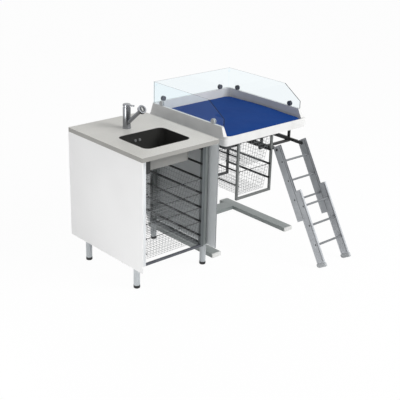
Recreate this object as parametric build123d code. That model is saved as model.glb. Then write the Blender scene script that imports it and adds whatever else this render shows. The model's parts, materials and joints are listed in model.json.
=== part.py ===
from build123d import *
import os
from math import cos, radians, sin

# A bath cabinet stands to the left of a height-adjustable changing table with a pull-out ladder.
# Millimetres. While it is drawn, the origin is on the floor under the worktop's front left corner,
# +X goes right, +Y goes back and +Z goes up. At the end everything moves to its bottom centre.
# L and R in a comment are the left and the right as seen from the front.

# General
overrun = 2
touch_gap = 0.3
sliding_gap = 0.5

# Worktop, the widest piece of the cabinet
worktop_width = 600
worktop_depth = 760
worktop_thickness = 27
worktop_height = 873
worktop_corner_radius = 5
worktop_underside = worktop_height - worktop_thickness

# Bath bowl, let into the worktop, with a neck that ends level with it
bowl_width = 352
bowl_length = 294
bowl_left = 121
bowl_front = 115
bowl_corner_radius = 40
bowl_wall = 3
bowl_depth = 104
bowl_draft = 6
bowl_flange_width = 14
bowl_middle_x = bowl_left + bowl_width / 2
bowl_middle_y = bowl_front + bowl_length / 2
bowl_floor_height = worktop_underside - bowl_depth
housing_gap = 2
housing_wall = 1.5
housing_bottom_gap = 3

# Overflow, two round rosettes high on the rear wall of the bowl
rosette_radius = 9
rosette_thickness = 2.5
rosette_spacing = 34
rosette_share = 0.45
rosette_drop = 22

# Drain in the bowl's floor
drain_behind_middle = 70
drain_y = bowl_middle_y + drain_behind_middle
strainer_flange_radius = 33
strainer_flange_thickness = 2
strainer_neck_radius = 22
strainer_bore_radius = 18
strainer_neck_length = 30
strainer_bridge_width = 8
strainer_bridge_thickness = 4
plug_radius = 26
plug_thickness = 4
plug_stem_radius = 4
plug_stem_length = 44
trap_neck_length = 12
trap_neck_radius = 21
trap_cup_radius = 32
trap_cup_height = 44
trap_wall = 2.5
trap_outlet_radius = 20
trap_outlet_length = 180

# Single-lever tap with a pull-out spray
tap_x = 285
tap_y = 525
tap_hole_radius = 17.5
tap_base_radius = 27
tap_base_height = 8
tap_shank_length = 60
tap_shank_radius = 16
tap_body_radius = 25
tap_body_height = 128
spout_radius = 12.5
spout_bore_radius = 9
spout_height = 18
spout_rise_angle = 40
spout_length = 172
spray_neck_radius = 8.5
spray_neck_length = 60
spray_collar_radius = 14
spray_collar_length = 14
spray_head_radius = 28
spray_head_thickness = 24
spray_head_chamfer = 9
spray_face_radius = 19
spray_face_depth = 3
lever_stem_radius = 19
lever_stem_height = 9
lever_cap_radius = 25
lever_cap_height = 13
lever_blade_length = 74
lever_blade_width = 17
lever_blade_thickness = 7
lever_rise_angle = 6
lever_pivot_back = 15
lever_pivot_rise = 1
lever_pivot_radius = 4
lever_pivot_width = 16
lever_free_angle = 21

# Legs of the cabinet
leg_radius = 20
leg_wall = 1.5
leg_from_side = 30
leg_front_y = 93
leg_rear_y = 604
leg_foot_height = 20
leg_foot_radius = 21
leg_foot_rounding = 5

# Side panels of the cabinet
panel_thickness = 9.5
panel_bottom = 138

# Rack of the cabinet, with runners at even levels
upright_width = 24
upright_depth = 22
upright_wall = 2
upright_from_side = 53
upright_front_y = 62
upright_rear_y = 588
rack_bottom = 143
side_rail_height = 24
front_rail_height = 15
front_rail_depth = 15
lowest_level_rise = 86
top_level_drop = 35
level_count = 7
lowest_level = rack_bottom + lowest_level_rise
level_pitch = (worktop_underside - top_level_drop - lowest_level) / (level_count - 1)

# Runner, an L with a ledge that a basket's rim slides on
runner_height = 11
runner_wall = 2
runner_reach = 9
runner_lip_above_rim = 2

# Wire baskets
rim_height = 5
rim_width = 10.5
net_thickness = 3
net_hole = 38
net_bar = 4
shallow_basket_room = 13
deep_basket_room = 18
shallow_basket_depth = level_pitch - shallow_basket_room
deep_basket_depth = (lowest_level_rise + level_pitch - front_rail_height
                     - deep_basket_room)
shallow_basket_count = 3
basket_front_y = 58
basket_rear_gap = 10

# Base of the changing table
foot_width = 76
foot_height = 28
foot_wall = 3
left_foot_x = 666
foot_spacing = 691
foot_front_y = 100
foot_rear_y = 785
cap_thickness = 8
pad_radius = 16
pad_height = 6
pad_from_end = 45
crossbar_front_y = 636
crossbar_depth = 97
table_middle_x = left_foot_x + (foot_spacing + foot_width) / 2

# Lift column between the crossbar and the tray
column_width = 96
column_depth = 60
column_wall = 4
column_top = 525
column_corner_radius = 6
column_inner_width = 78
column_inner_depth = 42
column_inner_wall = 3
column_inner_length = 462
glide_height = 20
column_middle_y = crossbar_front_y + crossbar_depth / 2
motor_width = 66
motor_depth = 40
motor_height = 40
spindle_radius = 8
spindle_length = 380
nut_height = 22

# Tray of the changing table
tray_width = 753
tray_depth = 776
tray_front_y = 24
tray_bottom = 800
tray_floor_thickness = 12
tray_skirt_height = 40
tray_ledge = 4
tray_wall_height = 114
tray_wall_lean = 10
tray_wall_inset = 35
tray_front_wall = 7
tray_front_height = 58
tray_front_flat = 26
tray_front_slope = 35
tray_corner_radius = 28
tray_cavity_radius = 28
tray_skin = 5
tray_left = table_middle_x - tray_width / 2
tray_right = tray_left + tray_width
tray_rear_y = tray_front_y + tray_depth
tray_top = tray_bottom + tray_wall_height
cavity_left = tray_left + tray_wall_inset
cavity_right = tray_right - tray_wall_inset
cavity_front = tray_front_y + tray_front_wall
cavity_rear = tray_rear_y - tray_wall_inset
tray_floor_top = tray_bottom + tray_floor_thickness

# Steel frame under the tray
frame_bar_width = 30
frame_bar_height = 38
frame_wall = 2.5
frame_left_x = 750
frame_front_y = 112
frame_rear_y = 740
frame_cross_y = 480
frame_bottom = tray_bottom - frame_bar_height

# Mattress with a crowned top and drawn-in sides
mattress_gap = 1.5
mattress_thickness = 48
mattress_edge_share = 0.8
mattress_waist_share = 0.35
mattress_lower_draft = 28
mattress_upper_draft = 5
mattress_corner_radius = 42

# Clear guards on the tray's wall
guard_thickness = 6
guard_from_outside = 25
guard_rise = 145
guard_top = tray_top + guard_rise
guard_front_y = 72
guard_front_height = 51
guard_slope_y = 219
clamp_radius = 17
clamp_outer_thickness = 8
clamp_bolt_radius = 4
clamp_flat = 1
clamp_front_y = 168
clamp_rear_y = 683
clamp_back_x_share = 0.15
clip_size = 13
clip_height = 16
clip_drop = 12

# Switch for the lift, under the front left corner of the tray
switch_from_side = 24
switch_width = 111
switch_left = tray_left + switch_from_side
switch_right = switch_left + switch_width
switch_front_y = 50.5
switch_depth = 60
switch_height = 28
button_radius = 7
button_length = 9
button_stand_out = 3
button_well_depth = 9
button_inset = 18
button_spacing = 24

# Basket unit that hangs under the tray
unit_left = 797
unit_width = 317
unit_tube = 16
unit_front_y = 32
unit_rear_y = 442
unit_bottom = 405
unit_level_top = 795
unit_level_pitch = 97
unit_level_count = 4
unit_basket_step = 2
unit_basket_depth = 174

# Ladder with a fixed upper section and a sliding lower section
ladder_lean = 30.2
ladder_left_x = 1125
ladder_pitch = 239.4
ladder_top_y = 42
ladder_top_z = 701
stringer_thickness = 12
stringer_depth = 70
tongue_depth = 22
tongue_thickness = 6
section_gap = 0.4
upper_length = 520
lower_start = 320
rung_depth = 26
rung_height = 13
rung_rounding = 5
rung_pitch = 134.5
upper_rung_start = 109
upper_rung_from_edge = 40.5
lower_rung_start = 429
lower_rung_from_edge = 25
rung_count = 3
shoe_length = 26
shoe_flare = 4
shoe_side = 2
shoe_dip = 8

# Pivot, rails and guides of the ladder
pivot_y = 4
pivot_z = 695
pivot_radius = 5
pivot_head_radius = 8
pivot_head_thickness = 4
rail_height = 20
rail_bottom = 684
rail_front_y = 48
rail_rear_y = 420
lug_thickness = 5
lug_radius = 11
guide_wall = 2
guide_front_y = 152
guide_rear_y = 700
guide_gap = 0.3
guide_lip = 3
hanger_depth = 20
hanger_strap = 9
hanger_bar_height = 14
hanger_gap = 3
hanger_knob_radius = 12
hanger_knob_length = 11
bracket_depth = 20


def block(x0, x1, y0, y1, z0, z1):
    """A box between two corners."""
    middle = Pos((x0 + x1) / 2, (y0 + y1) / 2, (z0 + z1) / 2)
    return middle * Box(x1 - x0, y1 - y0, z1 - z0)


def tube_box(x0, x1, y0, y1, z0, z1, wall, axis):
    """A rectangular tube that is open at both ends of its axis."""
    walls = {"x": wall, "y": wall, "z": wall}
    walls[axis] = -overrun
    hollow = block(x0 + walls["x"], x1 - walls["x"], y0 + walls["y"], y1 - walls["y"],
                   z0 + walls["z"], z1 - walls["z"])
    return block(x0, x1, y0, y1, z0, z1) - hollow


def post(x, y, z0, z1, radius):
    """An upright cylinder."""
    return Pos(x, y, (z0 + z1) / 2) * Cylinder(radius, z1 - z0)


def rod(start, end, radius):
    """A cylinder from one point to another."""
    start, end = Vector(*start), Vector(*end)
    run = end - start
    return extrude(Plane(origin=start, z_dir=run) * Circle(radius), run.length)


def slab(x0, x1, y0, y1, z0, height, radius, taper=0):
    """A flat body with rounded upright edges, drawn in as it goes away from z0."""
    outline = Pos((x0 + x1) / 2, (y0 + y1) / 2, z0) * RectangleRounded(x1 - x0, y1 - y0, radius)
    return extrude(outline, height, taper=taper)


def prism_yz(points, x0, x1):
    """A body of one YZ outline between two X positions."""
    plane = Plane(origin=(x0, 0, 0), x_dir=(0, 1, 0), z_dir=(1, 0, 0))
    return extrude(plane * make_face(Polyline(*points, close=True)), x1 - x0)


def group(solids):
    """Separate solids of one node."""
    return Compound(children=[solid for piece in solids for solid in piece.solids()])


# Worktop and bowl


def bowl_shape(grow, top, height):
    """The bowl's tapered body, larger than its inside by grow, from top downwards."""
    half_width = bowl_width / 2 + grow
    half_length = bowl_length / 2 + grow
    return slab(bowl_middle_x - half_width, bowl_middle_x + half_width,
                bowl_middle_y - half_length, bowl_middle_y + half_length,
                top, -height, bowl_corner_radius + grow, bowl_draft)


def bowl_well(grow, top, bottom):
    """The bowl's straight upper part, larger than its inside by grow."""
    return slab(bowl_left - grow, bowl_left + bowl_width + grow, bowl_front - grow,
                bowl_front + bowl_length + grow, bottom, top - bottom, bowl_corner_radius + grow)


def make_worktop():
    top = slab(0, worktop_width, 0, worktop_depth, worktop_underside, worktop_thickness,
               worktop_corner_radius)
    top -= bowl_well(bowl_wall + touch_gap, worktop_height + overrun, worktop_underside - overrun)
    return top - post(tap_x, tap_y, worktop_underside - overrun, worktop_height + overrun,
                      tap_hole_radius)


def make_sink_bowl():
    bowl = bowl_shape(bowl_wall, worktop_underside, bowl_depth + bowl_wall)
    flange = slab(bowl_left - bowl_flange_width, bowl_left + bowl_width + bowl_flange_width,
                  bowl_front - bowl_flange_width, bowl_front + bowl_length + bowl_flange_width,
                  worktop_underside - bowl_wall, bowl_wall, bowl_corner_radius + bowl_flange_width)
    bowl += flange + bowl_well(bowl_wall, worktop_height, worktop_underside - bowl_wall)
    bowl -= bowl_well(0, worktop_height + overrun, worktop_underside)
    bowl -= bowl_shape(0, worktop_underside, bowl_depth)
    return bowl - post(bowl_middle_x, drain_y, bowl_floor_height - bowl_wall - overrun,
                       bowl_floor_height + overrun, strainer_neck_radius + touch_gap)


def make_bowl_housing():
    inside = bowl_wall + housing_gap
    top = worktop_underside - bowl_wall
    depth = bowl_depth + housing_bottom_gap
    shell = bowl_shape(inside + housing_wall, top, depth + housing_wall)
    shell -= bowl_shape(inside, top, depth)
    return shell - post(bowl_middle_x, drain_y, top - depth - housing_wall - overrun,
                        top - depth + overrun, strainer_neck_radius + touch_gap)


def make_overflow_rosettes():
    rear_wall_y = bowl_front + bowl_length
    z = worktop_underside - rosette_drop
    wall_y = rear_wall_y - rosette_drop * sin(radians(bowl_draft)) / cos(radians(bowl_draft))
    first_x = bowl_left + bowl_width * rosette_share - rosette_spacing / 2
    facing = Plane(origin=(first_x, wall_y, z), z_dir=(0, -cos(radians(bowl_draft)), sin(radians(bowl_draft))))
    rosette = extrude(facing * Circle(rosette_radius), rosette_thickness)
    return group([rosette, Pos(rosette_spacing, 0, 0) * rosette])


# Drain


def make_drain_strainer():
    top = bowl_floor_height + strainer_flange_thickness
    bottom = top - strainer_neck_length
    ring = post(bowl_middle_x, drain_y, bowl_floor_height, top, strainer_flange_radius)
    ring += post(bowl_middle_x, drain_y, bottom, top, strainer_neck_radius)
    ring -= post(bowl_middle_x, drain_y, bottom - overrun, top + overrun, strainer_bore_radius)
    bridge = block(bowl_middle_x - strainer_bore_radius, bowl_middle_x + strainer_bore_radius,
                   drain_y - strainer_bridge_width, drain_y + strainer_bridge_width,
                   bottom, bottom + strainer_bridge_thickness)
    bridge &= post(bowl_middle_x, drain_y, bottom, top, strainer_neck_radius)
    hole = post(bowl_middle_x, drain_y, bottom - overrun, top, plug_stem_radius + touch_gap)
    return ring + bridge - hole


def make_drain_plug():
    seat = bowl_floor_height + strainer_flange_thickness
    disc = post(bowl_middle_x, drain_y, seat, seat + plug_thickness, plug_radius)
    disc = fillet(disc.edges().group_by(Axis.Z)[-1], plug_thickness / 3)
    return disc + post(bowl_middle_x, drain_y, seat - plug_stem_length, seat, plug_stem_radius)


def make_drain_trap():
    neck_top = bowl_floor_height + strainer_flange_thickness - strainer_neck_length
    cup_top = neck_top - trap_neck_length
    cup_bottom = cup_top - trap_cup_height
    outlet_z = cup_top - trap_outlet_radius
    outlet_end = (bowl_middle_x, drain_y + trap_outlet_length, outlet_z)
    centre = (bowl_middle_x, drain_y, outlet_z)
    trap = post(bowl_middle_x, drain_y, cup_bottom, cup_top, trap_cup_radius)
    trap += post(bowl_middle_x, drain_y, cup_top, neck_top, trap_neck_radius)
    trap += rod(centre, outlet_end, trap_outlet_radius)
    trap -= post(bowl_middle_x, drain_y, cup_bottom + trap_wall, cup_top - trap_wall,
                 trap_cup_radius - trap_wall)
    trap -= post(bowl_middle_x, drain_y, cup_top - trap_wall - overrun, neck_top + overrun,
                 trap_neck_radius - trap_wall)
    past_end = (bowl_middle_x, drain_y + trap_outlet_length + overrun, outlet_z)
    return trap - rod(centre, past_end, trap_outlet_radius - trap_wall)


# Tap


def spout_point(distance):
    """A point along the spout's axis from the tap's own axis."""
    rise = radians(spout_rise_angle)
    y = tap_y - distance * cos(rise)
    z = worktop_height + tap_base_height + spout_height + distance * sin(rise)
    return (tap_x, y, z)


def make_faucet_base():
    base = post(tap_x, tap_y, worktop_height, worktop_height + tap_base_height, tap_base_radius)
    base = chamfer(base.edges().group_by(Axis.Z)[-1], tap_base_height / 4)
    return base + post(tap_x, tap_y, worktop_height - tap_shank_length, worktop_height,
                       tap_shank_radius)


def make_faucet_body():
    bottom = worktop_height + tap_base_height
    body = post(tap_x, tap_y, bottom, bottom + tap_body_height, tap_body_radius)
    body += rod(spout_point(0), spout_point(spout_length), spout_radius)
    return body - rod(spout_point(tap_body_radius + spout_radius),
                      spout_point(spout_length + overrun), spout_bore_radius)


def make_spray_head():
    neck_start = spout_point(spout_length - spray_neck_length)
    collar_start = spout_point(spout_length)
    collar_end = spout_point(spout_length + spray_collar_length)
    face = spout_length + spray_collar_length + spray_head_thickness
    drum = rod(collar_end, spout_point(face), spray_head_radius)
    drum = chamfer(drum.edges().sort_by(Axis.Y)[-1], spray_head_chamfer)
    drum -= rod(spout_point(face - spray_face_depth), spout_point(face + overrun), spray_face_radius)
    head = rod(neck_start, collar_end, spray_neck_radius)
    head += rod(collar_start, collar_end, spray_collar_radius)
    return head + drum


def stem_top():
    return worktop_height + tap_base_height + tap_body_height + lever_stem_height


def lever_pivot():
    """The axis that the lever is lifted about, as Y and Z."""
    return tap_y + lever_pivot_back, stem_top() + lever_pivot_rise


def pivot_ridge(grow):
    """The round ridge that the lever rocks on, larger by grow."""
    y, z = lever_pivot()
    reach = lever_pivot_width / 2 + grow
    return rod((tap_x - reach, y, z), (tap_x + reach, y, z), lever_pivot_radius + grow)


def make_lever_stem():
    disc = post(tap_x, tap_y, stem_top() - lever_stem_height, stem_top(), lever_stem_radius)
    return disc + pivot_ridge(0)


def behind_pivot():
    """What the lever leaves free behind its axis, so that it can be lifted."""
    y, z = lever_pivot()
    rear = y + lever_cap_radius
    rise = lever_cap_radius * sin(radians(lever_free_angle)) / cos(radians(lever_free_angle))
    points = [(y, z), (rear, z + rise), (rear, z - lever_cap_height), (y, z - lever_cap_height)]
    return prism_yz(points, tap_x - 2 * lever_cap_radius, tap_x + 2 * lever_cap_radius)


def make_faucet_lever():
    bottom = stem_top() + touch_gap
    cap = post(tap_x, tap_y, bottom, bottom + lever_cap_height, lever_cap_radius)
    cap = fillet(cap.edges().group_by(Axis.Z)[-1], lever_cap_height / 3)
    rise = radians(lever_rise_angle)
    blade = Box(lever_blade_width, lever_blade_length, lever_blade_thickness,
                align=(Align.CENTER, Align.MAX, Align.CENTER))
    blade = fillet(blade.edges().filter_by(Axis.Z), lever_blade_width / 3)
    lift = lever_cap_height / 2 + lever_blade_thickness * sin(rise)
    lever = cap + Pos(tap_x, tap_y, bottom + lift) * Rot(-lever_rise_angle, 0, 0) * blade
    return lever - pivot_ridge(touch_gap) - behind_pivot()


# Cabinet body


def leg_places():
    return [(x, y) for x in (leg_from_side, worktop_width - leg_from_side)
            for y in (leg_front_y, leg_rear_y)]


def make_legs():
    legs = []
    for x, y in leg_places():
        tube = post(x, y, leg_foot_height, worktop_underside, leg_radius)
        tube -= post(x, y, leg_foot_height - overrun, worktop_underside + overrun,
                     leg_radius - leg_wall)
        legs.append(tube)
    return group(legs)


def make_leg_feet():
    feet = []
    for x, y in leg_places():
        foot = post(x, y, 0, leg_foot_height, leg_foot_radius)
        feet.append(fillet(foot.edges().group_by(Axis.Z)[0], leg_foot_rounding))
    return group(feet)


def make_side_panel(x):
    return block(x, x + panel_thickness, 0, worktop_depth, panel_bottom, worktop_underside)


def upright_lefts():
    return (upright_from_side, worktop_width - upright_from_side - upright_width)


def make_rack_frame():
    pieces = []
    for x in upright_lefts():
        for y in (upright_front_y, upright_rear_y):
            pieces.append(tube_box(x, x + upright_width, y, y + upright_depth, rack_bottom,
                                   worktop_underside, upright_wall, "z"))
        pieces.append(tube_box(x, x + upright_width, upright_front_y + upright_depth,
                               upright_rear_y, rack_bottom, rack_bottom + side_rail_height,
                               upright_wall, "y"))
    return group(pieces)


def make_rack_front_rail():
    left, right = upright_lefts()
    return block(left + upright_width, right, upright_front_y,
                 upright_front_y + front_rail_depth, rack_bottom, rack_bottom + front_rail_height)


def runner(x, side, y0, y1, rim_top):
    """A runner on a face at x that reaches towards side, under a rim whose top is given."""
    rim_bottom = rim_top - rim_height
    top = rim_top + runner_lip_above_rim
    bottom = top - runner_height
    web = sorted((x, x + side * runner_wall))
    ledge = sorted((x, x + side * runner_reach))
    return block(*web, y0, y1, bottom, top) + block(*ledge, y0, y1, bottom, rim_bottom)


def rack_levels():
    return [lowest_level + index * level_pitch for index in range(level_count)]


def make_rack_runners(side):
    left, right = upright_lefts()
    x = left + upright_width if side > 0 else right
    rear = upright_rear_y + upright_depth
    return group([runner(x, side, upright_front_y, rear, level) for level in rack_levels()])


# Wire baskets


def net(width, height):
    """A flat holed face, with as many even square holes as fit."""
    face = Face(Wire.make_rect(width, height))
    pitch = net_hole + net_bar
    across = max(1, int((width - net_bar) / pitch))
    up = max(1, int((height - net_bar) / pitch))
    step_across = (width - net_bar) / across
    step_up = (height - net_bar) / up
    holes = []
    for column in range(across):
        for row in range(up):
            x = (column + 0.5 - across / 2) * step_across
            y = (row + 0.5 - up / 2) * step_up
            hole = Rectangle(step_across - net_bar, step_up - net_bar)
            holes.append((Pos(x, y) * hole).wire())
    return Face(face.outer_wire(), holes)


def plate(width, height, origin, x_dir, normal):
    """A net plate whose thickness grows along the normal."""
    placed = Plane(origin=origin, x_dir=x_dir, z_dir=normal) * net(width, height)
    return extrude(placed, net_thickness, dir=normal)


def basket(x0, x1, y0, y1, rim_top, depth):
    """One basket: a flat rim, four net walls and a net floor."""
    rim_bottom = rim_top - rim_height
    bottom = rim_top - depth
    rim = tube_box(x0, x1, y0, y1, rim_bottom, rim_top, rim_width, "z")
    inset = rim_width - net_thickness
    left, right, front, rear = x0 + inset, x1 - inset, y0 + inset, y1 - inset
    middle_x, middle_y = (left + right) / 2, (front + rear) / 2
    middle_z = (bottom + rim_bottom) / 2
    width, length, height = right - left, rear - front, rim_bottom - bottom
    floor = plate(width, length, (middle_x, middle_y, bottom), (1, 0, 0), (0, 0, 1))
    front_net = plate(width, height, (middle_x, front + net_thickness, middle_z), (1, 0, 0), (0, -1, 0))
    rear_net = plate(width, height, (middle_x, rear, middle_z), (1, 0, 0), (0, -1, 0))
    left_net = plate(length, height, (left, middle_y, middle_z), (0, 1, 0), (1, 0, 0))
    right_net = plate(length, height, (right - net_thickness, middle_y, middle_z), (0, 1, 0), (1, 0, 0))
    return rim + [floor, front_net, rear_net, left_net, right_net]


def make_cabinet_basket(rim_top, depth):
    left, right = upright_lefts()
    side_gap = runner_wall + sliding_gap
    return basket(left + upright_width + side_gap, right - side_gap, basket_front_y,
                  upright_rear_y + upright_depth - basket_rear_gap, rim_top, depth)


def make_cabinet_baskets():
    """The lowest is deep and hangs on the second level; shallow ones hang on the next levels."""
    levels = rack_levels()[1:]
    deep = make_cabinet_basket(levels[0], deep_basket_depth)
    shallow = make_cabinet_basket(levels[1], shallow_basket_depth)
    others = [Pos(0, 0, index * level_pitch) * shallow for index in range(shallow_basket_count)]
    return [deep] + others


# Table base


def foot_lefts():
    return (left_foot_x, left_foot_x + foot_spacing)


def foot_top():
    return pad_height + foot_height


def make_base_foot(x):
    front, rear = foot_front_y + cap_thickness, foot_rear_y - cap_thickness
    return tube_box(x, x + foot_width, front, rear, pad_height, foot_top(), foot_wall, "y")


def make_base_crossbar():
    left, right = foot_lefts()
    return tube_box(left + foot_width, right, crossbar_front_y, crossbar_front_y + crossbar_depth,
                    pad_height, foot_top(), foot_wall, "x")


def make_foot_caps():
    caps = []
    for x in foot_lefts():
        for y in (foot_front_y, foot_rear_y - cap_thickness):
            caps.append(block(x, x + foot_width, y, y + cap_thickness, pad_height, foot_top()))
    return group(caps)


def make_base_pads():
    pads = []
    for x in foot_lefts():
        for y in (foot_front_y + pad_from_end, foot_rear_y - pad_from_end):
            pads.append(post(x + foot_width / 2, y, 0, pad_height, pad_radius))
    return group(pads)


# Lift column


def column_slab(width, depth, bottom, top, radius):
    return slab(table_middle_x - width / 2, table_middle_x + width / 2,
                column_middle_y - depth / 2, column_middle_y + depth / 2,
                bottom, top - bottom, radius)


def make_column_outer():
    outer = column_slab(column_width, column_depth, foot_top(), column_top, column_corner_radius)
    return outer - column_slab(column_width - 2 * column_wall, column_depth - 2 * column_wall,
                               foot_top() - overrun, column_top + overrun,
                               column_corner_radius - column_wall)


def make_column_glide():
    ring = column_slab(column_width - 2 * column_wall, column_depth - 2 * column_wall,
                       column_top - glide_height, column_top, column_corner_radius - column_wall)
    opening = column_slab(column_inner_width + 2 * touch_gap, column_inner_depth + 2 * touch_gap,
                          column_top - glide_height - overrun, column_top + overrun,
                          column_corner_radius - column_wall)
    return ring - opening


def column_inner_bottom():
    return frame_bottom - column_inner_length


def make_column_inner():
    radius = column_corner_radius - column_wall
    outer = column_slab(column_inner_width, column_inner_depth, column_inner_bottom(),
                        frame_bottom, radius)
    wall = column_inner_wall
    hollow = block(table_middle_x - column_inner_width / 2 + wall,
                   table_middle_x + column_inner_width / 2 - wall,
                   column_middle_y - column_inner_depth / 2 + wall,
                   column_middle_y + column_inner_depth / 2 - wall,
                   column_inner_bottom() - overrun, frame_bottom + overrun)
    return outer - hollow


def make_lift_motor():
    return column_slab(motor_width, motor_depth, foot_top(), foot_top() + motor_height,
                       column_corner_radius)


def make_lift_spindle():
    bottom = foot_top() + motor_height
    return post(table_middle_x, column_middle_y, bottom, bottom + spindle_length, spindle_radius)


def make_spindle_nut():
    bottom = column_inner_bottom()
    wall = column_inner_wall
    nut = block(table_middle_x - column_inner_width / 2 + wall,
                table_middle_x + column_inner_width / 2 - wall,
                column_middle_y - column_inner_depth / 2 + wall,
                column_middle_y + column_inner_depth / 2 - wall, bottom, bottom + nut_height)
    return nut - post(table_middle_x, column_middle_y, bottom - overrun,
                      bottom + nut_height + overrun, spindle_radius + sliding_gap)


# Tray and its frame


def frame_bars(inset, past_ends):
    """Two bars that run back and two that run across, each drawn in by inset."""
    right = 2 * table_middle_x - frame_left_x
    column_front = column_middle_y - column_depth / 2
    front, rear = frame_front_y - past_ends, frame_rear_y + past_ends
    bottom, top = frame_bottom + inset, tray_bottom - inset
    bars = []
    for x in (frame_left_x, right - frame_bar_width):
        bars.append(block(x + inset, x + frame_bar_width - inset, front, rear, bottom, top))
    for y, depth in ((frame_cross_y, frame_bar_width), (column_front, column_depth)):
        bars.append(block(frame_left_x + inset, right - inset, y + inset, y + depth - inset, bottom, top))
    return bars


def make_tray_frame():
    outside, inside = frame_bars(0, 0), frame_bars(frame_wall, overrun)
    return (outside[0] + outside[1:]) - inside


def tray_slab(inset, z0, height, taper=0):
    return slab(tray_left + inset, tray_right - inset, tray_front_y + inset, tray_rear_y - inset,
                z0, height, tray_corner_radius - inset, taper)


def tray_front_cut():
    """What is taken off above the low front edge and the slope up to the side walls."""
    low = tray_bottom + tray_front_height
    high = tray_top + overrun
    front = tray_front_y - overrun
    flat_end = tray_front_y + tray_front_flat
    slope_end = flat_end + tray_front_slope
    points = [(front, low), (flat_end, low), (slope_end, tray_top), (slope_end, high), (front, high)]
    return prism_yz(points, tray_left - overrun, tray_right + overrun)


def tray_pocket():
    """The hollow inside the side and rear walls, open below."""
    top = tray_top - tray_skin
    solid = tray_slab(tray_skin, tray_bottom - overrun, top - tray_bottom + overrun, tray_wall_lean)
    floor = slab(cavity_left - tray_skin, cavity_right + tray_skin, cavity_front - tray_skin,
                 cavity_rear + tray_skin, tray_bottom - 2 * overrun, tray_wall_height,
                 tray_cavity_radius + tray_skin)
    slope_end = tray_front_y + tray_front_flat + tray_front_slope
    front = block(tray_left, tray_right, tray_front_y, slope_end + tray_skin,
                  tray_bottom - 2 * overrun, tray_top)
    return solid - floor - front


def make_changing_tray():
    upper = tray_wall_height - tray_skirt_height
    tray = tray_slab(0, tray_bottom, tray_skirt_height)
    tray += tray_slab(tray_ledge, tray_bottom + tray_skirt_height, upper, tray_wall_lean)
    lip = tray_slab(0, tray_bottom, tray_front_height)
    lip &= block(tray_left, tray_right, tray_front_y, tray_front_y + tray_front_flat,
                 tray_bottom, tray_bottom + tray_front_height)
    tray += lip
    tray -= slab(cavity_left, cavity_right, cavity_front, cavity_rear, tray_floor_top,
                 tray_wall_height, tray_cavity_radius)
    return tray - tray_front_cut() - tray_pocket()


def make_mattress():
    """A slab whose sides are drawn in below and above its widest line, under a crowned top."""
    left, right = cavity_left + mattress_gap, cavity_right - mattress_gap
    front, rear = cavity_front + mattress_gap, cavity_rear - mattress_gap
    bottom = tray_floor_top + touch_gap
    waist = mattress_thickness * mattress_waist_share
    upper = mattress_thickness - waist
    radius = mattress_corner_radius
    body = slab(left, right, front, rear, bottom + waist, -waist, radius, mattress_lower_draft)
    body += slab(left, right, front, rear, bottom + waist, upper, radius, mattress_upper_draft)
    edge, top = bottom + mattress_thickness * mattress_edge_share, bottom + mattress_thickness
    low, high = front - mattress_corner_radius, rear + mattress_corner_radius
    crown = make_face([
        Line((low, edge), (low, bottom - overrun)),
        Line((low, bottom - overrun), (high, bottom - overrun)),
        Line((high, bottom - overrun), (high, edge)),
        ThreePointArc((high, edge), ((low + high) / 2, top), (low, edge)),
    ])
    across = Plane(origin=(left - overrun, 0, 0), x_dir=(0, 1, 0), z_dir=(1, 0, 0))
    return body & extrude(across * crown, right - left + 2 * overrun)


# Guards


def guard_outside(side):
    """The outer face of a side guard: side is -1 on the left and 1 on the right."""
    return table_middle_x + side * (tray_width / 2 - guard_from_outside)


def guard_back_y():
    """The rear face of the back guard."""
    return tray_rear_y - guard_from_outside


def clamp_height():
    return tray_top + clamp_radius - clamp_flat


def make_guard_side(side):
    outside = guard_outside(side)
    faces = sorted((outside, outside - side * guard_thickness))
    points = [
        (guard_front_y, tray_top),
        (guard_front_y, tray_top + guard_front_height),
        (guard_slope_y, guard_top),
        (guard_back_y(), guard_top),
        (guard_back_y(), tray_top),
    ]
    guard = prism_yz(points, *faces)
    for y in (clamp_front_y, clamp_rear_y):
        guard -= rod((faces[0] - overrun, y, clamp_height()), (faces[1] + overrun, y, clamp_height()),
                     clamp_bolt_radius)
    return guard


def clamp_back_places():
    offset = tray_width * (1 - 2 * clamp_back_x_share) / 2
    return (table_middle_x - offset, table_middle_x + offset)


def make_guard_back():
    left = guard_outside(-1) + guard_thickness
    right = guard_outside(1) - guard_thickness
    rear = guard_back_y()
    guard = block(left, right, rear - guard_thickness, rear, tray_top, guard_top)
    for x in clamp_back_places():
        guard -= rod((x, rear - guard_thickness - overrun, clamp_height()),
                     (x, rear + overrun, clamp_height()), clamp_bolt_radius)
    return guard


def clamp(inner, outer, direction):
    """A disc on each side of a guard, joined by a bolt, with a flat that stands on the wall."""
    inner_end = inner
    inner_face = inner + direction * clamp_inner_thickness()
    outer_face = inner_face + direction * guard_thickness
    outer_end = outer_face + direction * clamp_outer_thickness
    discs = rod(inner_end, inner_face, clamp_radius) + rod(outer_face, outer_end, clamp_radius)
    discs += rod(inner_face, outer_face, clamp_bolt_radius)
    x, y, z = outer
    below = block(x - tray_width, x + tray_width, y - tray_depth, y + tray_depth,
                  tray_top - clamp_radius, tray_top)
    return discs - below


def clamp_inner_thickness():
    """The inner disc ends flush with the tray's inner wall."""
    return tray_wall_inset - guard_from_outside - guard_thickness


def make_clamp_knobs():
    clamps = []
    z = clamp_height()
    for side, x in ((-1, cavity_left), (1, cavity_right)):
        for y in (clamp_front_y, clamp_rear_y):
            clamps.append(clamp(Vector(x, y, z), (x, y, z), Vector(side, 0, 0)))
    for x in clamp_back_places():
        clamps.append(clamp(Vector(x, cavity_rear, z), (x, cavity_rear, z), Vector(0, 1, 0)))
    return group(clamps)


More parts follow.
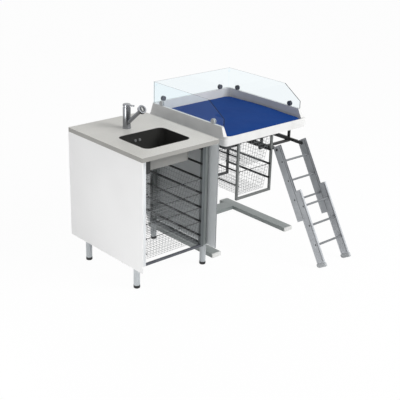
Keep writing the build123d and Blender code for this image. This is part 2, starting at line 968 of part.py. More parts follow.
def make_guard_clips():
    clips = []
    rear = guard_back_y() - guard_thickness
    top = guard_top - clip_drop
    for side in (-1, 1):
        inside = guard_outside(side) - side * guard_thickness
        span = sorted((inside, inside - side * clip_size))
        clips.append(block(*span, rear - clip_size, rear, top - clip_height, top))
    return group(clips)


# Switch


def button_places():
    last = switch_right - button_inset
    return (last - button_spacing, last)


def make_switch_housing():
    bottom = tray_bottom - switch_height
    box = block(switch_left, switch_right, switch_front_y, switch_front_y + switch_depth,
                bottom, tray_bottom)
    for x in button_places():
        z = tray_bottom - switch_height / 2
        box -= rod((x, switch_front_y - overrun, z), (x, switch_front_y + button_well_depth, z),
                   button_radius + touch_gap)
    return box


def make_button(x):
    z = tray_bottom - switch_height / 2
    front = switch_front_y - button_stand_out
    return rod((x, front, z), (x, front + button_length, z), button_radius)


# Basket unit


def unit_right():
    return unit_left + unit_width


def make_basket_frame(y):
    """A U of square tube: two posts and a bottom bar."""
    tube = unit_tube
    outer = block(unit_left, unit_right(), y, y + tube, unit_bottom, tray_bottom)
    return outer - block(unit_left + tube, unit_right() - tube, y - overrun, y + tube + overrun,
                         unit_bottom + tube, tray_bottom + overrun)


def unit_levels():
    return [unit_level_top - index * unit_level_pitch for index in range(unit_level_count)]


def make_unit_runners():
    rear = unit_rear_y + unit_tube
    left, right = unit_left + unit_tube, unit_right() - unit_tube
    runners = [runner(left, 1, unit_front_y, rear, level) for level in unit_levels()]
    runners += [runner(right, -1, unit_front_y, rear, level) for level in unit_levels()]
    return group(runners)


def make_unit_baskets():
    """Two like baskets, the second one some levels lower."""
    side_gap = unit_tube + runner_wall + sliding_gap
    upper = basket(unit_left + side_gap, unit_right() - side_gap, unit_front_y,
                   unit_rear_y + unit_tube - basket_rear_gap, unit_level_top, unit_basket_depth)
    return upper, Pos(0, 0, -unit_basket_step * unit_level_pitch) * upper


# Ladder


def ladder_plane(x):
    """At the top rear corner of a stringer: x runs down the ladder and -y goes to its front."""
    lean = radians(ladder_lean)
    return Plane(origin=(x, ladder_top_y, ladder_top_z), x_dir=(0, -sin(lean), -cos(lean)),
                 z_dir=(1, 0, 0))


def ladder_box(x, thickness, start, end, near, far, rounding=0):
    """A body of the ladder from start to end along it, and from near to far off its rear edge."""
    outline = Pos((start + end) / 2, -(near + far) / 2)
    if rounding:
        outline *= RectangleRounded(end - start, far - near, rounding)
    else:
        outline *= Rectangle(end - start, far - near)
    return extrude(ladder_plane(x) * outline, thickness)


def stringer_lefts():
    return (ladder_left_x, ladder_left_x + ladder_pitch)


def lower_near():
    """How far the lower section's body is in front of the upper section's rear edge."""
    return stringer_depth + section_gap


def lower_rear():
    """How far the lower section's tongue starts in front of the upper section's rear edge."""
    return lower_near() - tongue_depth


def lower_front():
    return lower_rear() + stringer_depth


def shoe_end():
    """Where a shoe's rear edge would end below the floor before it is cut flat."""
    lean = radians(ladder_lean)
    rear_edge = ladder_top_z + (lower_rear() - shoe_flare) * sin(lean)
    return (rear_edge + shoe_dip) / cos(lean)


def make_upper_stringers():
    """The front edge of each has a groove for the lower section's tongue."""
    sides = []
    groove_wall = (stringer_thickness - tongue_thickness) / 2 - section_gap
    for x in stringer_lefts():
        side = ladder_box(x, stringer_thickness, 0, upper_length, 0, stringer_depth)
        side -= ladder_box(x + groove_wall, stringer_thickness - 2 * groove_wall, -overrun,
                           upper_length + overrun, stringer_depth - tongue_depth,
                           stringer_depth + overrun)
        side -= rod((x - overrun, pivot_y, pivot_z), (x + stringer_thickness + overrun, pivot_y, pivot_z),
                    pivot_radius + touch_gap)
        sides.append(side)
    return group(sides)


def make_lower_stringers():
    """The rear edge of each is a tongue that slides in the upper section's groove."""
    sides = []
    end = shoe_end() - shoe_length
    tongue_from_face = (stringer_thickness - tongue_thickness) / 2
    for x in stringer_lefts():
        side = ladder_box(x, stringer_thickness, lower_start, end, lower_near(), lower_front())
        side += ladder_box(x + tongue_from_face, tongue_thickness, lower_start, end, lower_rear(),
                           lower_near() + overrun)
        sides.append(side)
    return group(sides)


def rungs(first, near_edge, start_x, end_x):
    """Three rungs between the stringers."""
    steps = []
    for index in range(rung_count):
        middle = first + index * rung_pitch
        steps.append(ladder_box(start_x, end_x - start_x, middle - rung_height / 2,
                                middle + rung_height / 2, near_edge - rung_depth / 2,
                                near_edge + rung_depth / 2, rung_rounding))
    return group(steps)


def make_upper_rungs():
    left, right = stringer_lefts()
    return rungs(upper_rung_start, upper_rung_from_edge, left + stringer_thickness, right)


def make_lower_rungs():
    left, right = stringer_lefts()
    return rungs(lower_rung_start, lower_near() + lower_rung_from_edge,
                 left + stringer_thickness, right)


def make_ladder_shoes():
    shoes = []
    for x in stringer_lefts():
        shoe = ladder_box(x - shoe_side, stringer_thickness + 2 * shoe_side,
                          shoe_end() - shoe_length, shoe_end(), lower_rear() - shoe_flare,
                          lower_front() + shoe_flare)
        below = block(x - stringer_depth, x + stringer_depth, -ladder_top_z, ladder_top_y,
                      -stringer_depth, 0)
        shoes.append(shoe - below)
    return group(shoes)


# Rails, guides and hanger of the ladder


def make_ladder_rails():
    """Each rail ends in a lug beside the stringer, with the pivot bolt through both."""
    rails = []
    for x, inward in zip(stringer_lefts(), (1, -1)):
        bar = block(x, x + stringer_thickness, rail_front_y, rail_rear_y, rail_bottom,
                    rail_bottom + rail_height)
        face = x + stringer_thickness if inward > 0 else x
        lug = sorted((face + inward * touch_gap, face + inward * (touch_gap + lug_thickness)))
        plate_points = ((lug[0], pivot_y, pivot_z), (lug[1], pivot_y, pivot_z))
        arm = rod(*plate_points, lug_radius)
        arm += block(*lug, pivot_y, rail_front_y + rail_height, pivot_z - rail_height / 2,
                     pivot_z + rail_height / 2)
        joint = sorted((face - inward * stringer_thickness / 2, lug[1] if inward > 0 else lug[0]))
        knee = block(*joint, rail_front_y, rail_front_y + rail_height, rail_bottom + rail_height / 4,
                     rail_bottom + rail_height)
        outer_face = x if inward > 0 else x + stringer_thickness
        head = outer_face - inward * touch_gap
        head_end = head - inward * pivot_head_thickness
        bolt = rod((lug[0] if inward > 0 else lug[1], pivot_y, pivot_z), (head_end, pivot_y, pivot_z),
                   pivot_radius)
        bolt += rod((head, pivot_y, pivot_z), (head_end, pivot_y, pivot_z), pivot_head_radius)
        rails.append(bar + arm + knee + bolt)
    return group(rails)


def make_ladder_guide(x):
    """A channel around a rail, open below between two lips, hung from the tray frame."""
    gap, wall = guide_gap, guide_wall
    right = x + stringer_thickness
    top = rail_bottom + rail_height
    channel = block(x - gap - wall, right + gap + wall, guide_front_y, guide_rear_y,
                    rail_bottom - gap - wall, top + gap + wall)
    channel -= block(x - gap, right + gap, guide_front_y - overrun, guide_rear_y + overrun,
                     rail_bottom - gap, top + gap)
    channel -= block(x + guide_lip, right - guide_lip, guide_front_y - overrun,
                     guide_rear_y + overrun, rail_bottom - stringer_depth, rail_bottom)
    middle = frame_cross_y + frame_bar_width / 2
    for y in (middle, column_middle_y):
        channel += block(x, right, y - bracket_depth / 2, y + bracket_depth / 2,
                         top + gap + wall, frame_bottom)
    return channel


def make_ladder_guides():
    return group([make_ladder_guide(x) for x in stringer_lefts()])


def make_ladder_hanger():
    left, right = stringer_lefts()
    outside_left = left - hanger_gap - hanger_strap
    outside_right = right + stringer_thickness + hanger_gap + hanger_strap
    rear = guide_front_y
    front = rear - hanger_depth
    top_of_bar = rail_bottom - touch_gap
    bottom = top_of_bar - hanger_bar_height
    hanger = block(outside_left, outside_right, front, rear, bottom, tray_bottom)
    hanger -= block(outside_left + hanger_strap, outside_right - hanger_strap, front - overrun,
                    rear + overrun, top_of_bar, tray_bottom + overrun)
    middle_y, middle_z = (front + rear) / 2, (bottom + top_of_bar) / 2
    return hanger + rod((outside_left, middle_y, middle_z),
                        (outside_left - hanger_knob_length, middle_y, middle_z), hanger_knob_radius)


def model():
    """Every node by name, in the place where it is drawn."""
    left_foot, right_foot = foot_lefts()
    first_button, second_button = button_places()
    upper_basket, lower_basket = make_unit_baskets()
    nodes = {
        "worktop": make_worktop(),
        "sink_bowl": make_sink_bowl(),
        "bowl_housing": make_bowl_housing(),
        "overflow_rosettes": make_overflow_rosettes(),
        "drain_strainer": make_drain_strainer(),
        "drain_plug": make_drain_plug(),
        "drain_trap": make_drain_trap(),
        "faucet_base": make_faucet_base(),
        "faucet_body": make_faucet_body(),
        "spray_head": make_spray_head(),
        "lever_stem": make_lever_stem(),
        "faucet_lever": make_faucet_lever(),
        "legs": make_legs(),
        "leg_feet": make_leg_feet(),
        "side_panel_left": make_side_panel(0),
        "side_panel_right": make_side_panel(worktop_width - panel_thickness),
        "rack_frame": make_rack_frame(),
        "rack_front_rail": make_rack_front_rail(),
        "rack_runners_left": make_rack_runners(1),
        "rack_runners_right": make_rack_runners(-1),
        "base_foot_left": make_base_foot(left_foot),
        "base_foot_right": make_base_foot(right_foot),
        "base_crossbar": make_base_crossbar(),
        "foot_caps": make_foot_caps(),
        "base_pads": make_base_pads(),
        "column_outer": make_column_outer(),
        "column_glide": make_column_glide(),
        "column_inner": make_column_inner(),
        "lift_motor": make_lift_motor(),
        "lift_spindle": make_lift_spindle(),
        "spindle_nut": make_spindle_nut(),
        "tray_frame": make_tray_frame(),
        "changing_tray": make_changing_tray(),
        "mattress": make_mattress(),
        "guard_left": make_guard_side(-1),
        "guard_right": make_guard_side(1),
        "guard_back": make_guard_back(),
        "clamp_knobs": make_clamp_knobs(),
        "guard_clips": make_guard_clips(),
        "switch_housing": make_switch_housing(),
        "button_up": make_button(first_button),
        "button_down": make_button(second_button),
        "basket_frame_front": make_basket_frame(unit_front_y),
        "basket_frame_rear": make_basket_frame(unit_rear_y),
        "unit_runners": make_unit_runners(),
        "unit_basket_upper": upper_basket,
        "unit_basket_lower": lower_basket,
        "ladder_hanger": make_ladder_hanger(),
        "ladder_guides": make_ladder_guides(),
        "ladder_rails": make_ladder_rails(),
        "upper_stringers": make_upper_stringers(),
        "upper_rungs": make_upper_rungs(),
        "lower_stringers": make_lower_stringers(),
        "lower_rungs": make_lower_rungs(),
        "ladder_shoes": make_ladder_shoes(),
    }
    for number, piece in enumerate(make_cabinet_baskets(), start=1):
        nodes[f"cabinet_basket_{number}"] = piece
    return nodes


def to_bottom_centre(nodes):
    """The move that puts the origin on the floor under the middle of the whole."""
    box = Compound(children=[Compound(node.solids()) for node in nodes.values()]).bounding_box()
    return Pos(-box.center().X, -box.center().Y, -box.min.Z)


if __name__ == "__main__":
    os.makedirs("parts", exist_ok=True)
    drawn = model()
    move = to_bottom_centre(drawn)
    for name, node in drawn.items():
        export_step(move * node, f"parts/{name}.step")
    print("moved by", move.position)
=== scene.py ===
import json
from math import atan, cos, pi, radians, sin

import bpy
from mathutils import Matrix, Vector

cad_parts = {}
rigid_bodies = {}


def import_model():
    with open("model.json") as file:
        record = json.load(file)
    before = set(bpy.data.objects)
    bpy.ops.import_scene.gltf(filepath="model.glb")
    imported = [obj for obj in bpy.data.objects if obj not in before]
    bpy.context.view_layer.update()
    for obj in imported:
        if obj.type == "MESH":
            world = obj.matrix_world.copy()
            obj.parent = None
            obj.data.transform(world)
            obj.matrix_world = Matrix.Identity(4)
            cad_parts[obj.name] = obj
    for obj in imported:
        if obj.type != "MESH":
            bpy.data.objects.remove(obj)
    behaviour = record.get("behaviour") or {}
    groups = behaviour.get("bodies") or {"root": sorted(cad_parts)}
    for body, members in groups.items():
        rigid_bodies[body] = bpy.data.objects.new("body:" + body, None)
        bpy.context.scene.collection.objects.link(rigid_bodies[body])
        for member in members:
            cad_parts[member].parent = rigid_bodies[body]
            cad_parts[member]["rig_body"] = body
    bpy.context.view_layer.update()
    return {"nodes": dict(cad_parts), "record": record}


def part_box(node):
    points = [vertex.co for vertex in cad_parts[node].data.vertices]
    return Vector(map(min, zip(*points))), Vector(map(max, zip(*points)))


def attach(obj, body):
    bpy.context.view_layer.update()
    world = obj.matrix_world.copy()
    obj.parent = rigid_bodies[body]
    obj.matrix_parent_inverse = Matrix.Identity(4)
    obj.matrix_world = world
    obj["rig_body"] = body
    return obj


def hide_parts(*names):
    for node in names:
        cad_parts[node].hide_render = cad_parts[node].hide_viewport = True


# Metres, in the frame of the construction: +X right, +Y back, +Z up.
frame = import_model()
MM = 0.001
QUARTER = pi / 2
# A normal with more than this share along an axis faces along it
FACING = 0.9
STRAIGHT = 0.99
SLANTED = 0.5
TOWARDS_FRONT = 0.3
# Edges that turn by more than this many degrees are sharp
SHARP = 40
WELD_REACH = 0.01 * MM
DOUBLES_REACH = 0.05 * MM
ROUND_SIDES = 48

# Camera, in metres and degrees, for a square picture of 400 pixels
CAMERA_PLACE = (-3.64137, -3.91435, 2.53936)
CAMERA_HEADING = 41.9331
CAMERA_DROP = 21.9088
CAMERA_ROLL = 1.48988
FOCAL_PIXELS = 880.05
PICTURE_PIXELS = 400
SENSOR = 36

# Baskets
MESH_STEP = 25 * MM
MESH_WIRE = 1.6 * MM
NET_TAPER = 22 * MM
NET_ROWS = {"unit_basket_upper": 7, "unit_basket_lower": 7, "cabinet_basket_1": 6}
SHALLOW_ROWS = 3
RIM_WIRE = 4.6 * MM
RIM_CORNER = 18 * MM
RIM_CORNER_STEPS = 4
RIM_EDGE = 1.4 * MM
TIE_EVERY = 2
TIE_SIDES = 6
WALL_BAND = 7 * MM

# Tray
SKIRT_HEIGHT = 40 * MM
LEDGE = 4 * MM
FRONT_LEDGE = 0.5 * MM
WALL_LEAN_IN = 13 * MM
WALL_INSET = 35 * MM
FLOOR_UP = 12 * MM
FLOOR_SKIN = 5 * MM
FRONT_WALL = 7 * MM
FRONT_HEIGHT = 58 * MM
FRONT_FLAT = 26 * MM
FRONT_SLOPE = 35 * MM
TRAY_CORNER = 28 * MM
TRAY_CORNER_STEPS = 6
TRAY_EDGE = 3.4 * MM
TRAY_EDGE_TURN = 32
OVERRUN = 10 * MM

# Mattress
MATTRESS_VOXEL = 9 * MM
MATTRESS_RAISE = 5 * MM
MATTRESS_SWELL = 5 * MM
MATTRESS_SHRINK = 1.5 * MM
KNIT_STEP = 3 * MM
CLOTH_PRESSURE = 4
CLOTH_QUALITY = 5
CLOTH_FRAMES = 20

# Ladder
LADDER_LEAN = radians(30.2)
RUNG_COUNT = 3
RUNG_DEPTH = 26 * MM
RUNG_HEIGHT = 13 * MM
STRINGER_DEPTH = 70 * MM
STRINGER_THICKNESS = 12 * MM
# Dark strips near the stringers' front edges, as painted shade
SHADE_STRIP_FROM_EDGE = 10 * MM
SHADE_STRIP_WIDTH = 2.4 * MM
SHADE_STRIP_PROUD = 0.5 * MM
SHADE_STRIP_END = 12 * MM
SCREW_RADIUS = 5 * MM
SCREW_HEIGHT = 1.6 * MM
SCREW_SIDES = 20
SCREW_EDGE = 0.5 * MM
SOCKET_WALL = 1.8 * MM
SOCKET_DEPTH = 1 * MM

# Spray nozzle
SPOUT_RISE = radians(40)
RECESS_DEPTH = 3 * MM
PLATE_RADIUS = 18 * MM
PLATE_THICKNESS = 1.4 * MM
BAR_WIDTH = 6 * MM
BAR_LENGTH = 22 * MM

# Distances that tell pieces of one node apart, for their finishes
UPRIGHT_ROOM = 40 * MM
CLAMP_ROOM = 25 * MM

# Painted shade in the cabinet: covers on the legs and a block by the bowl
LEG_RADIUS = 20 * MM
SLEEVE_SKIN = 0.4 * MM
SHADE_BLOCK_FROM_FRONT = -40 * MM
SHADE_BLOCK_WIDTH = 28 * MM
SHADE_BLOCK_DEPTH = 30 * MM
SHADE_BLOCK_HEIGHT = 104 * MM
EDGE_SOFT = 1 * MM

# Studio, with each lamp's name, place, target, width in metres and power in watts
WORLD_LIGHT = 0.42
FLOOR_GLOW_SHARE = 0.965
FLOOR_SIZE = 60
FLOOR_DROP = 0.5 * MM
LAMPS = (
    ("key_lamp", (1.6, -3.6, 3.8), (0, 0, 0.6), 2.6, 190),
    ("low_side_lamp", (-2.6, -0.2, 0.3), (-0.7, 0.2, 0.45), 0.8, 16),
)


# Colour and node helpers


def linear(code):
    """An sRGB hex colour as linear red, green, blue and a full alpha."""
    parts = [int(code[i:i + 2], 16) / 255 for i in (1, 3, 5)]
    bright = [p / 12.92 if p <= 0.04045 else ((p + 0.055) / 1.055) ** 2.4 for p in parts]
    return (*bright, 1)


def add_node(tree, kind, links=None, **settings):
    """A node with its sockets set or linked by name, and its own settings by attribute."""
    node = tree.nodes.new(kind)
    for key, value in settings.items():
        setattr(node, key, value)
    for name, value in (links or {}).items():
        socket = node.inputs[name]
        if isinstance(value, bpy.types.NodeSocket):
            tree.links.new(value, socket)
        else:
            socket.default_value = value
    return node


def new_material(name):
    """A material with an empty node tree, and the Object coordinates that its patterns follow."""
    material = bpy.data.materials.new(name)
    material.use_nodes = True
    tree = material.node_tree
    tree.nodes.clear()
    place = add_node(tree, "ShaderNodeTexCoord").outputs["Object"]
    return material, tree, place


def close_material(tree, shader):
    """Leads the last shader to the output."""
    add_node(tree, "ShaderNodeOutputMaterial", {"Surface": shader.outputs[0]})


def speckle(tree, place, size_mm, detail=2, stretch=(1, 1, 1)):
    """Noise whose grains are about size_mm wide, stretched along an axis by a small factor."""
    spread = add_node(tree, "ShaderNodeMapping", {"Vector": place, "Scale": stretch})
    return add_node(tree, "ShaderNodeTexNoise", {
        "Vector": spread.outputs[0], "Scale": 1 / (size_mm * MM), "Detail": detail})


def two_tone(tree, factor, dark, light, low=0.3, high=0.7):
    """A colour between two hex values, steered by a pattern."""
    ramp = add_node(tree, "ShaderNodeValToRGB", {"Fac": factor})
    ramp.color_ramp.elements[0].position = low
    ramp.color_ramp.elements[1].position = high
    ramp.color_ramp.elements[0].color = linear(dark)
    ramp.color_ramp.elements[1].color = linear(light)
    return ramp.outputs["Color"]


def relief(tree, height, depth_mm, strength):
    """Bumps as deep as depth_mm, softened by the strength."""
    return add_node(tree, "ShaderNodeBump", {"Height": height, "Distance": depth_mm * MM,
                                             "Strength": strength}).outputs[0]


def worn_roughness(tree, factor, low, high):
    """A roughness between two values, steered by a pattern."""
    return add_node(tree, "ShaderNodeMapRange", {
        "Value": factor, "To Min": low, "To Max": high}).outputs[0]


# Materials


def pressed_laminate(name, dark, light):
    """High-pressure laminate on board: warm grey, with a pearl finish that scatters the light."""
    material, tree, place = new_material(name)
    grain = speckle(tree, place, size_mm=1.6, detail=3)
    cloud = speckle(tree, place, size_mm=260, detail=1)
    base = two_tone(tree, cloud.outputs["Fac"], dark, light)
    fleck = two_tone(tree, grain.outputs["Fac"], "#a8a6a2", "#ffffff", low=0.36, high=0.5)
    color = add_node(tree, "ShaderNodeMix", {"Factor": 0.35, 6: base, 7: fleck}, data_type="RGBA",
                     blend_type="MULTIPLY")
    surface = add_node(tree, "ShaderNodeBsdfPrincipled", {
        "Base Color": color.outputs[2],
        "Roughness": worn_roughness(tree, cloud.outputs["Fac"], 0.34, 0.46),
        "IOR": 1.5,
        "Normal": relief(tree, grain.outputs["Fac"], depth_mm=0.15, strength=0.25)})
    close_material(tree, surface)
    return material


def composite_bowl():
    """Quartz composite: nearly black, fine-grained and satin."""
    material, tree, place = new_material("quartz_composite")
    grain = speckle(tree, place, size_mm=1.2, detail=4)
    surface = add_node(tree, "ShaderNodeBsdfPrincipled", {
        "Base Color": two_tone(tree, grain.outputs["Fac"], "#252524", "#3b3b39"),
        "Roughness": worn_roughness(tree, grain.outputs["Fac"], 0.28, 0.4), "IOR": 1.52,
        "Normal": relief(tree, grain.outputs["Fac"], depth_mm=0.1, strength=0.2)})
    close_material(tree, surface)
    return material


def coated_panel(name, dark, light, roughness):
    """Melamine-faced board: even in colour, with a very fine print of pores."""
    material, tree, place = new_material(name)
    cloud = speckle(tree, place, size_mm=300, detail=1)
    pores = speckle(tree, place, size_mm=1.5, detail=2)
    surface = add_node(tree, "ShaderNodeBsdfPrincipled", {
        "Base Color": two_tone(tree, cloud.outputs["Fac"], dark, light),
        "Roughness": worn_roughness(tree, pores.outputs["Fac"], roughness - 0.04, roughness + 0.06),
        "IOR": 1.5, "Normal": relief(tree, pores.outputs["Fac"], depth_mm=0.08, strength=0.15)})
    close_material(tree, surface)
    return material


def plated_brass(name, color, roughness):
    """Chrome plate on brass: a mirror, or a satin one, with faint wiping marks."""
    material, tree, place = new_material(name)
    wipe = speckle(tree, place, size_mm=14, detail=3, stretch=(1, 1, 0.2))
    surface = add_node(tree, "ShaderNodeBsdfPrincipled", {
        "Base Color": linear(color), "Metallic": 1,
        "Roughness": worn_roughness(tree, wipe.outputs["Fac"], roughness, roughness + 0.08)})
    close_material(tree, surface)
    return material


def powder_coat(name, dark, light):
    """Powder-coated steel: a thick satin coat with an orange-peel skin."""
    material, tree, place = new_material(name)
    peel = speckle(tree, place, size_mm=2.2, detail=2)
    cloud = speckle(tree, place, size_mm=120, detail=1)
    surface = add_node(tree, "ShaderNodeBsdfPrincipled", {
        "Base Color": two_tone(tree, cloud.outputs["Fac"], dark, light),
        "Roughness": worn_roughness(tree, cloud.outputs["Fac"], 0.36, 0.5), "IOR": 1.5,
        "Coat Weight": 0.15, "Coat Roughness": 0.3,
        "Normal": relief(tree, peel.outputs["Fac"], depth_mm=0.12, strength=0.25)})
    close_material(tree, surface)
    return material


def anodised_aluminium(name, dark, light, metallic):
    """Anodised aluminium, extruded: fine drawing lines along each profile under a matt skin."""
    material, tree, place = new_material(name)
    lines = speckle(tree, place, size_mm=1.1, detail=2, stretch=(1, 0.08, 0.08))
    cloud = speckle(tree, place, size_mm=160, detail=1)
    surface = add_node(tree, "ShaderNodeBsdfPrincipled", {
        "Base Color": two_tone(tree, cloud.outputs["Fac"], dark, light), "Metallic": metallic,
        "Roughness": worn_roughness(tree, lines.outputs["Fac"], 0.42, 0.54),
        "Normal": relief(tree, lines.outputs["Fac"], depth_mm=0.04, strength=0.12)})
    close_material(tree, surface)
    return material


def plated_wire(name, dark, light, metallic, gloss=0.5):
    """Zinc-plated steel wire or rod, passivated: grey, with slight dull patches."""
    material, tree, place = new_material(name)
    patch = speckle(tree, place, size_mm=20, detail=2)
    surface = add_node(tree, "ShaderNodeBsdfPrincipled", {
        "Base Color": two_tone(tree, patch.outputs["Fac"], dark, light), "Metallic": metallic,
        "Roughness": worn_roughness(tree, patch.outputs["Fac"], 0.4, 0.55), "Specular IOR Level": gloss})
    close_material(tree, surface)
    return material


def moulded_plastic(name, dark, light, roughness, grain_mm=1.4, coat=0):
    """Injection-moulded plastic: a fine spark-eroded grain, and slight flow clouds."""
    material, tree, place = new_material(name)
    grain = speckle(tree, place, size_mm=grain_mm, detail=3)
    cloud = speckle(tree, place, size_mm=90, detail=1)
    surface = add_node(tree, "ShaderNodeBsdfPrincipled", {
        "Base Color": two_tone(tree, cloud.outputs["Fac"], dark, light),
        "Roughness": worn_roughness(tree, grain.outputs["Fac"], roughness - 0.05, roughness + 0.06),
        "IOR": 1.47, "Coat Weight": coat, "Coat Roughness": 0.2,
        "Normal": relief(tree, grain.outputs["Fac"], depth_mm=0.1, strength=0.3)})
    close_material(tree, surface)
    return material


def moulded_rubber(name, dark, light):
    """Moulded rubber: dull, with a dusty bloom."""
    material, tree, place = new_material(name)
    bloom = speckle(tree, place, size_mm=9, detail=4)
    surface = add_node(tree, "ShaderNodeBsdfPrincipled", {
        "Base Color": two_tone(tree, bloom.outputs["Fac"], dark, light), "Roughness": 0.82,
        "IOR": 1.52, "Normal": relief(tree, bloom.outputs["Fac"], depth_mm=0.2, strength=0.3)})
    close_material(tree, surface)
    return material


def coated_mattress_fabric():
    """Polyurethane-coated polyester: blue and nearly matt, its knit drawn coarse enough to show."""
    material, tree, place = new_material("coated_polyester")
    knit = add_node(tree, "ShaderNodeTexVoronoi", {"Vector": place, "Scale": 1 / KNIT_STEP})
    cloud = speckle(tree, place, size_mm=180, detail=2)
    crease = speckle(tree, place, size_mm=45, detail=3, stretch=(1, 0.5, 1))
    surface = add_node(tree, "ShaderNodeBsdfPrincipled", {
        "Base Color": two_tone(tree, cloud.outputs["Fac"], "#0e397d", "#133f83"),
        "Roughness": worn_roughness(tree, crease.outputs["Fac"], 0.62, 0.74), "IOR": 1.4,
        "Specular IOR Level": 0.12,
        "Normal": add_node(tree, "ShaderNodeBump", {
            "Height": knit.outputs["Distance"], "Distance": 0.25 * MM, "Strength": 0.25,
            "Normal": relief(tree, crease.outputs["Fac"], depth_mm=1.2, strength=0.35)}).outputs[0]})
    close_material(tree, surface)
    return material


def clear_acrylic():
    """Cast acrylic sheet: see-through, with a faint blue body and a sharp gloss on its outside alone."""
    material, tree, place = new_material("cast_acrylic")
    dust = speckle(tree, place, size_mm=30, detail=2)
    gloss = add_node(tree, "ShaderNodeBsdfGlossy", {
        "Color": linear("#ffffff"), "Roughness": worn_roughness(tree, dust.outputs["Fac"], 0.02, 0.07)})
    through = add_node(tree, "ShaderNodeBsdfTransparent", {"Color": linear("#fbfeff")})
    rim = add_node(tree, "ShaderNodeFresnel", {"IOR": 1.35})
    side = add_node(tree, "ShaderNodeNewGeometry")
    front = add_node(tree, "ShaderNodeMath", {0: 1, 1: side.outputs["Backfacing"]}, operation="SUBTRACT")
    share = add_node(tree, "ShaderNodeMath", {0: rim.outputs[0], 1: front.outputs[0]},
                     operation="MULTIPLY")
    surface = add_node(tree, "ShaderNodeMixShader", {0: share.outputs[0], 1: through.outputs[0],
                                                     2: gloss.outputs[0]})
    close_material(tree, surface)
    return material


def acrylic_edge(name, dark, light, alpha):
    """The sawn edge of an acrylic sheet: nearly matt, and greyer than the sheet, or darker where it
    carries painted shade.
    """
    material, tree, place = new_material(name)
    saw = speckle(tree, place, size_mm=3, detail=2)
    surface = add_node(tree, "ShaderNodeBsdfPrincipled", {
        "Base Color": two_tone(tree, saw.outputs["Fac"], dark, light), "Roughness": 0.4, "IOR": 1.49,
        "Specular IOR Level": 0.12, "Alpha": alpha})
    close_material(tree, surface)
    return material


MATERIALS = {
    "worktop": pressed_laminate("pressed_laminate", "#d3d2cd", "#dfded9"),
    "bowl_dark": composite_bowl(),
    "bowl_outside": powder_coat("enamelled_steel", "#8b8b88", "#949491"),
    # The chrome's base colour is darkened: painted dark reflection, standing for dark surroundings that
    # the tap would mirror.
    "chrome": plated_brass("chrome_plate", "#8b8d91", roughness=0.16),
    "drain_plastic": moulded_plastic("white_polypropylene", "#d6d6d3", "#e0e0dd", roughness=0.42),
    "leg_steel": powder_coat("light_powder_coat", "#b5babd", "#c0c5c8"),
    "black_plastic": moulded_plastic("black_polyamide", "#1b1c1d", "#27282a", roughness=0.48),
    "panel_white": coated_panel("white_melamine", "#ececec", "#f0f0f0", roughness=0.42),
    "panel_grey": coated_panel("grey_melamine", "#d9dddf", "#e0e4e6", roughness=0.5),
    "aluminium": anodised_aluminium("anodised_aluminium", "#b0b3b7", "#bdc0c4", metallic=0.3),
    "wire": plated_wire("passivated_wire", "#717476", "#838688", metallic=0.15),
    "base_grey": powder_coat("grey_powder_coat", "#828988", "#8c9291"),
    "frame_grey": powder_coat("mid_grey_powder_coat", "#6a6d6c", "#747776"),
    "cap_light": moulded_plastic("light_grey_polypropylene", "#dadbd9", "#e4e5e3", roughness=0.4),
    "pad_rubber": moulded_rubber("black_rubber", "#202122", "#343638"),
    "shoe_grey": moulded_rubber("grey_rubber", "#b5b8ba", "#babdbf"),
    "motor": powder_coat("dark_powder_coat", "#343638", "#3f4143"),
    "spindle": plated_wire("plated_rod", "#8f9194", "#b9bbbe", metallic=0.6),
    "nut": moulded_plastic("polyacetal", "#dcd9cd", "#e6e3d8", roughness=0.35),
    "tray_white": moulded_plastic("thermoformed_abs", "#dcdcdb", "#e4e4e3", roughness=0.34,
                                  grain_mm=1.8, coat=0.15),
    "mattress_blue": coated_mattress_fabric(),
    "clear": clear_acrylic(),
    "clamp_grey": moulded_plastic("grey_polyamide", "#4b4e55", "#5b5e66", roughness=0.36),
    "switch_dark": moulded_plastic("dark_abs", "#37393b", "#434547", roughness=0.42),
    "black_steel": powder_coat("black_powder_coat", "#1a1b1c", "#262728"),
}
# Finishes that differ from their slot's on one piece or on a part of it
RIM_STEEL = plated_wire("dull_rim_wire", "#0b0c0c", "#131414", metallic=0, gloss=0.04)
SATIN_CHROME = plated_brass("satin_chrome", "#dcdddf", roughness=0.3)
# The worktop's upright faces in a darker laminate: painted shade, since the light falls from above.
WORKTOP_EDGE_SHADE = pressed_laminate("laminate_edge_shade", "#979692", "#a1a09c")
# The rack's aluminium, darkened: painted shade inside the cabinet.
SHADED_RACK_ALUMINIUM = anodised_aluminium("shaded_rack_aluminium", "#5a5f61", "#656a6c", metallic=0.3)
# The rungs in a darker copy of the ladder's aluminium: painted shade.
SHADED_RUNG_ALUMINIUM = anodised_aluminium("shaded_rung_aluminium", "#6b6e71", "#787b7e", metallic=0.1)
# A lighter copy of the rack's aluminium for its left and rear uprights: painted light.
LIT_RACK_ALUMINIUM = anodised_aluminium("lit_rack_aluminium", "#dfe2e4", "#e8ebed", metallic=0.2)
PANEL_EDGE = coated_panel("melamine_edge", "#7c8082", "#84888a", roughness=0.5)
NOZZLE_PLATE = moulded_plastic("nozzle_plate", "#3f4245", "#4b4e51", roughness=0.4)
LIGHT_CLAMP = moulded_plastic("light_polyamide", "#c6c8ca", "#d0d2d4", roughness=0.4)
NODE_FINISH = {"overflow_rosettes": SATIN_CHROME, "rack_frame": SHADED_RACK_ALUMINIUM,
               "upper_rungs": SHADED_RUNG_ALUMINIUM, "lower_rungs": SHADED_RUNG_ALUMINIUM,
               "rack_front_rail": MATERIALS["clamp_grey"]}
ACRYLIC_EDGE = acrylic_edge("acrylic_edge", "#7d858c", "#a3abb2", alpha=0.75)
# Sawn edges that face the front, darkened: painted shade.
ACRYLIC_FRONT_EDGE_SHADE = acrylic_edge("acrylic_front_edge_shade", "#1c2024", "#2a2f34", alpha=1)


# Modelling helpers


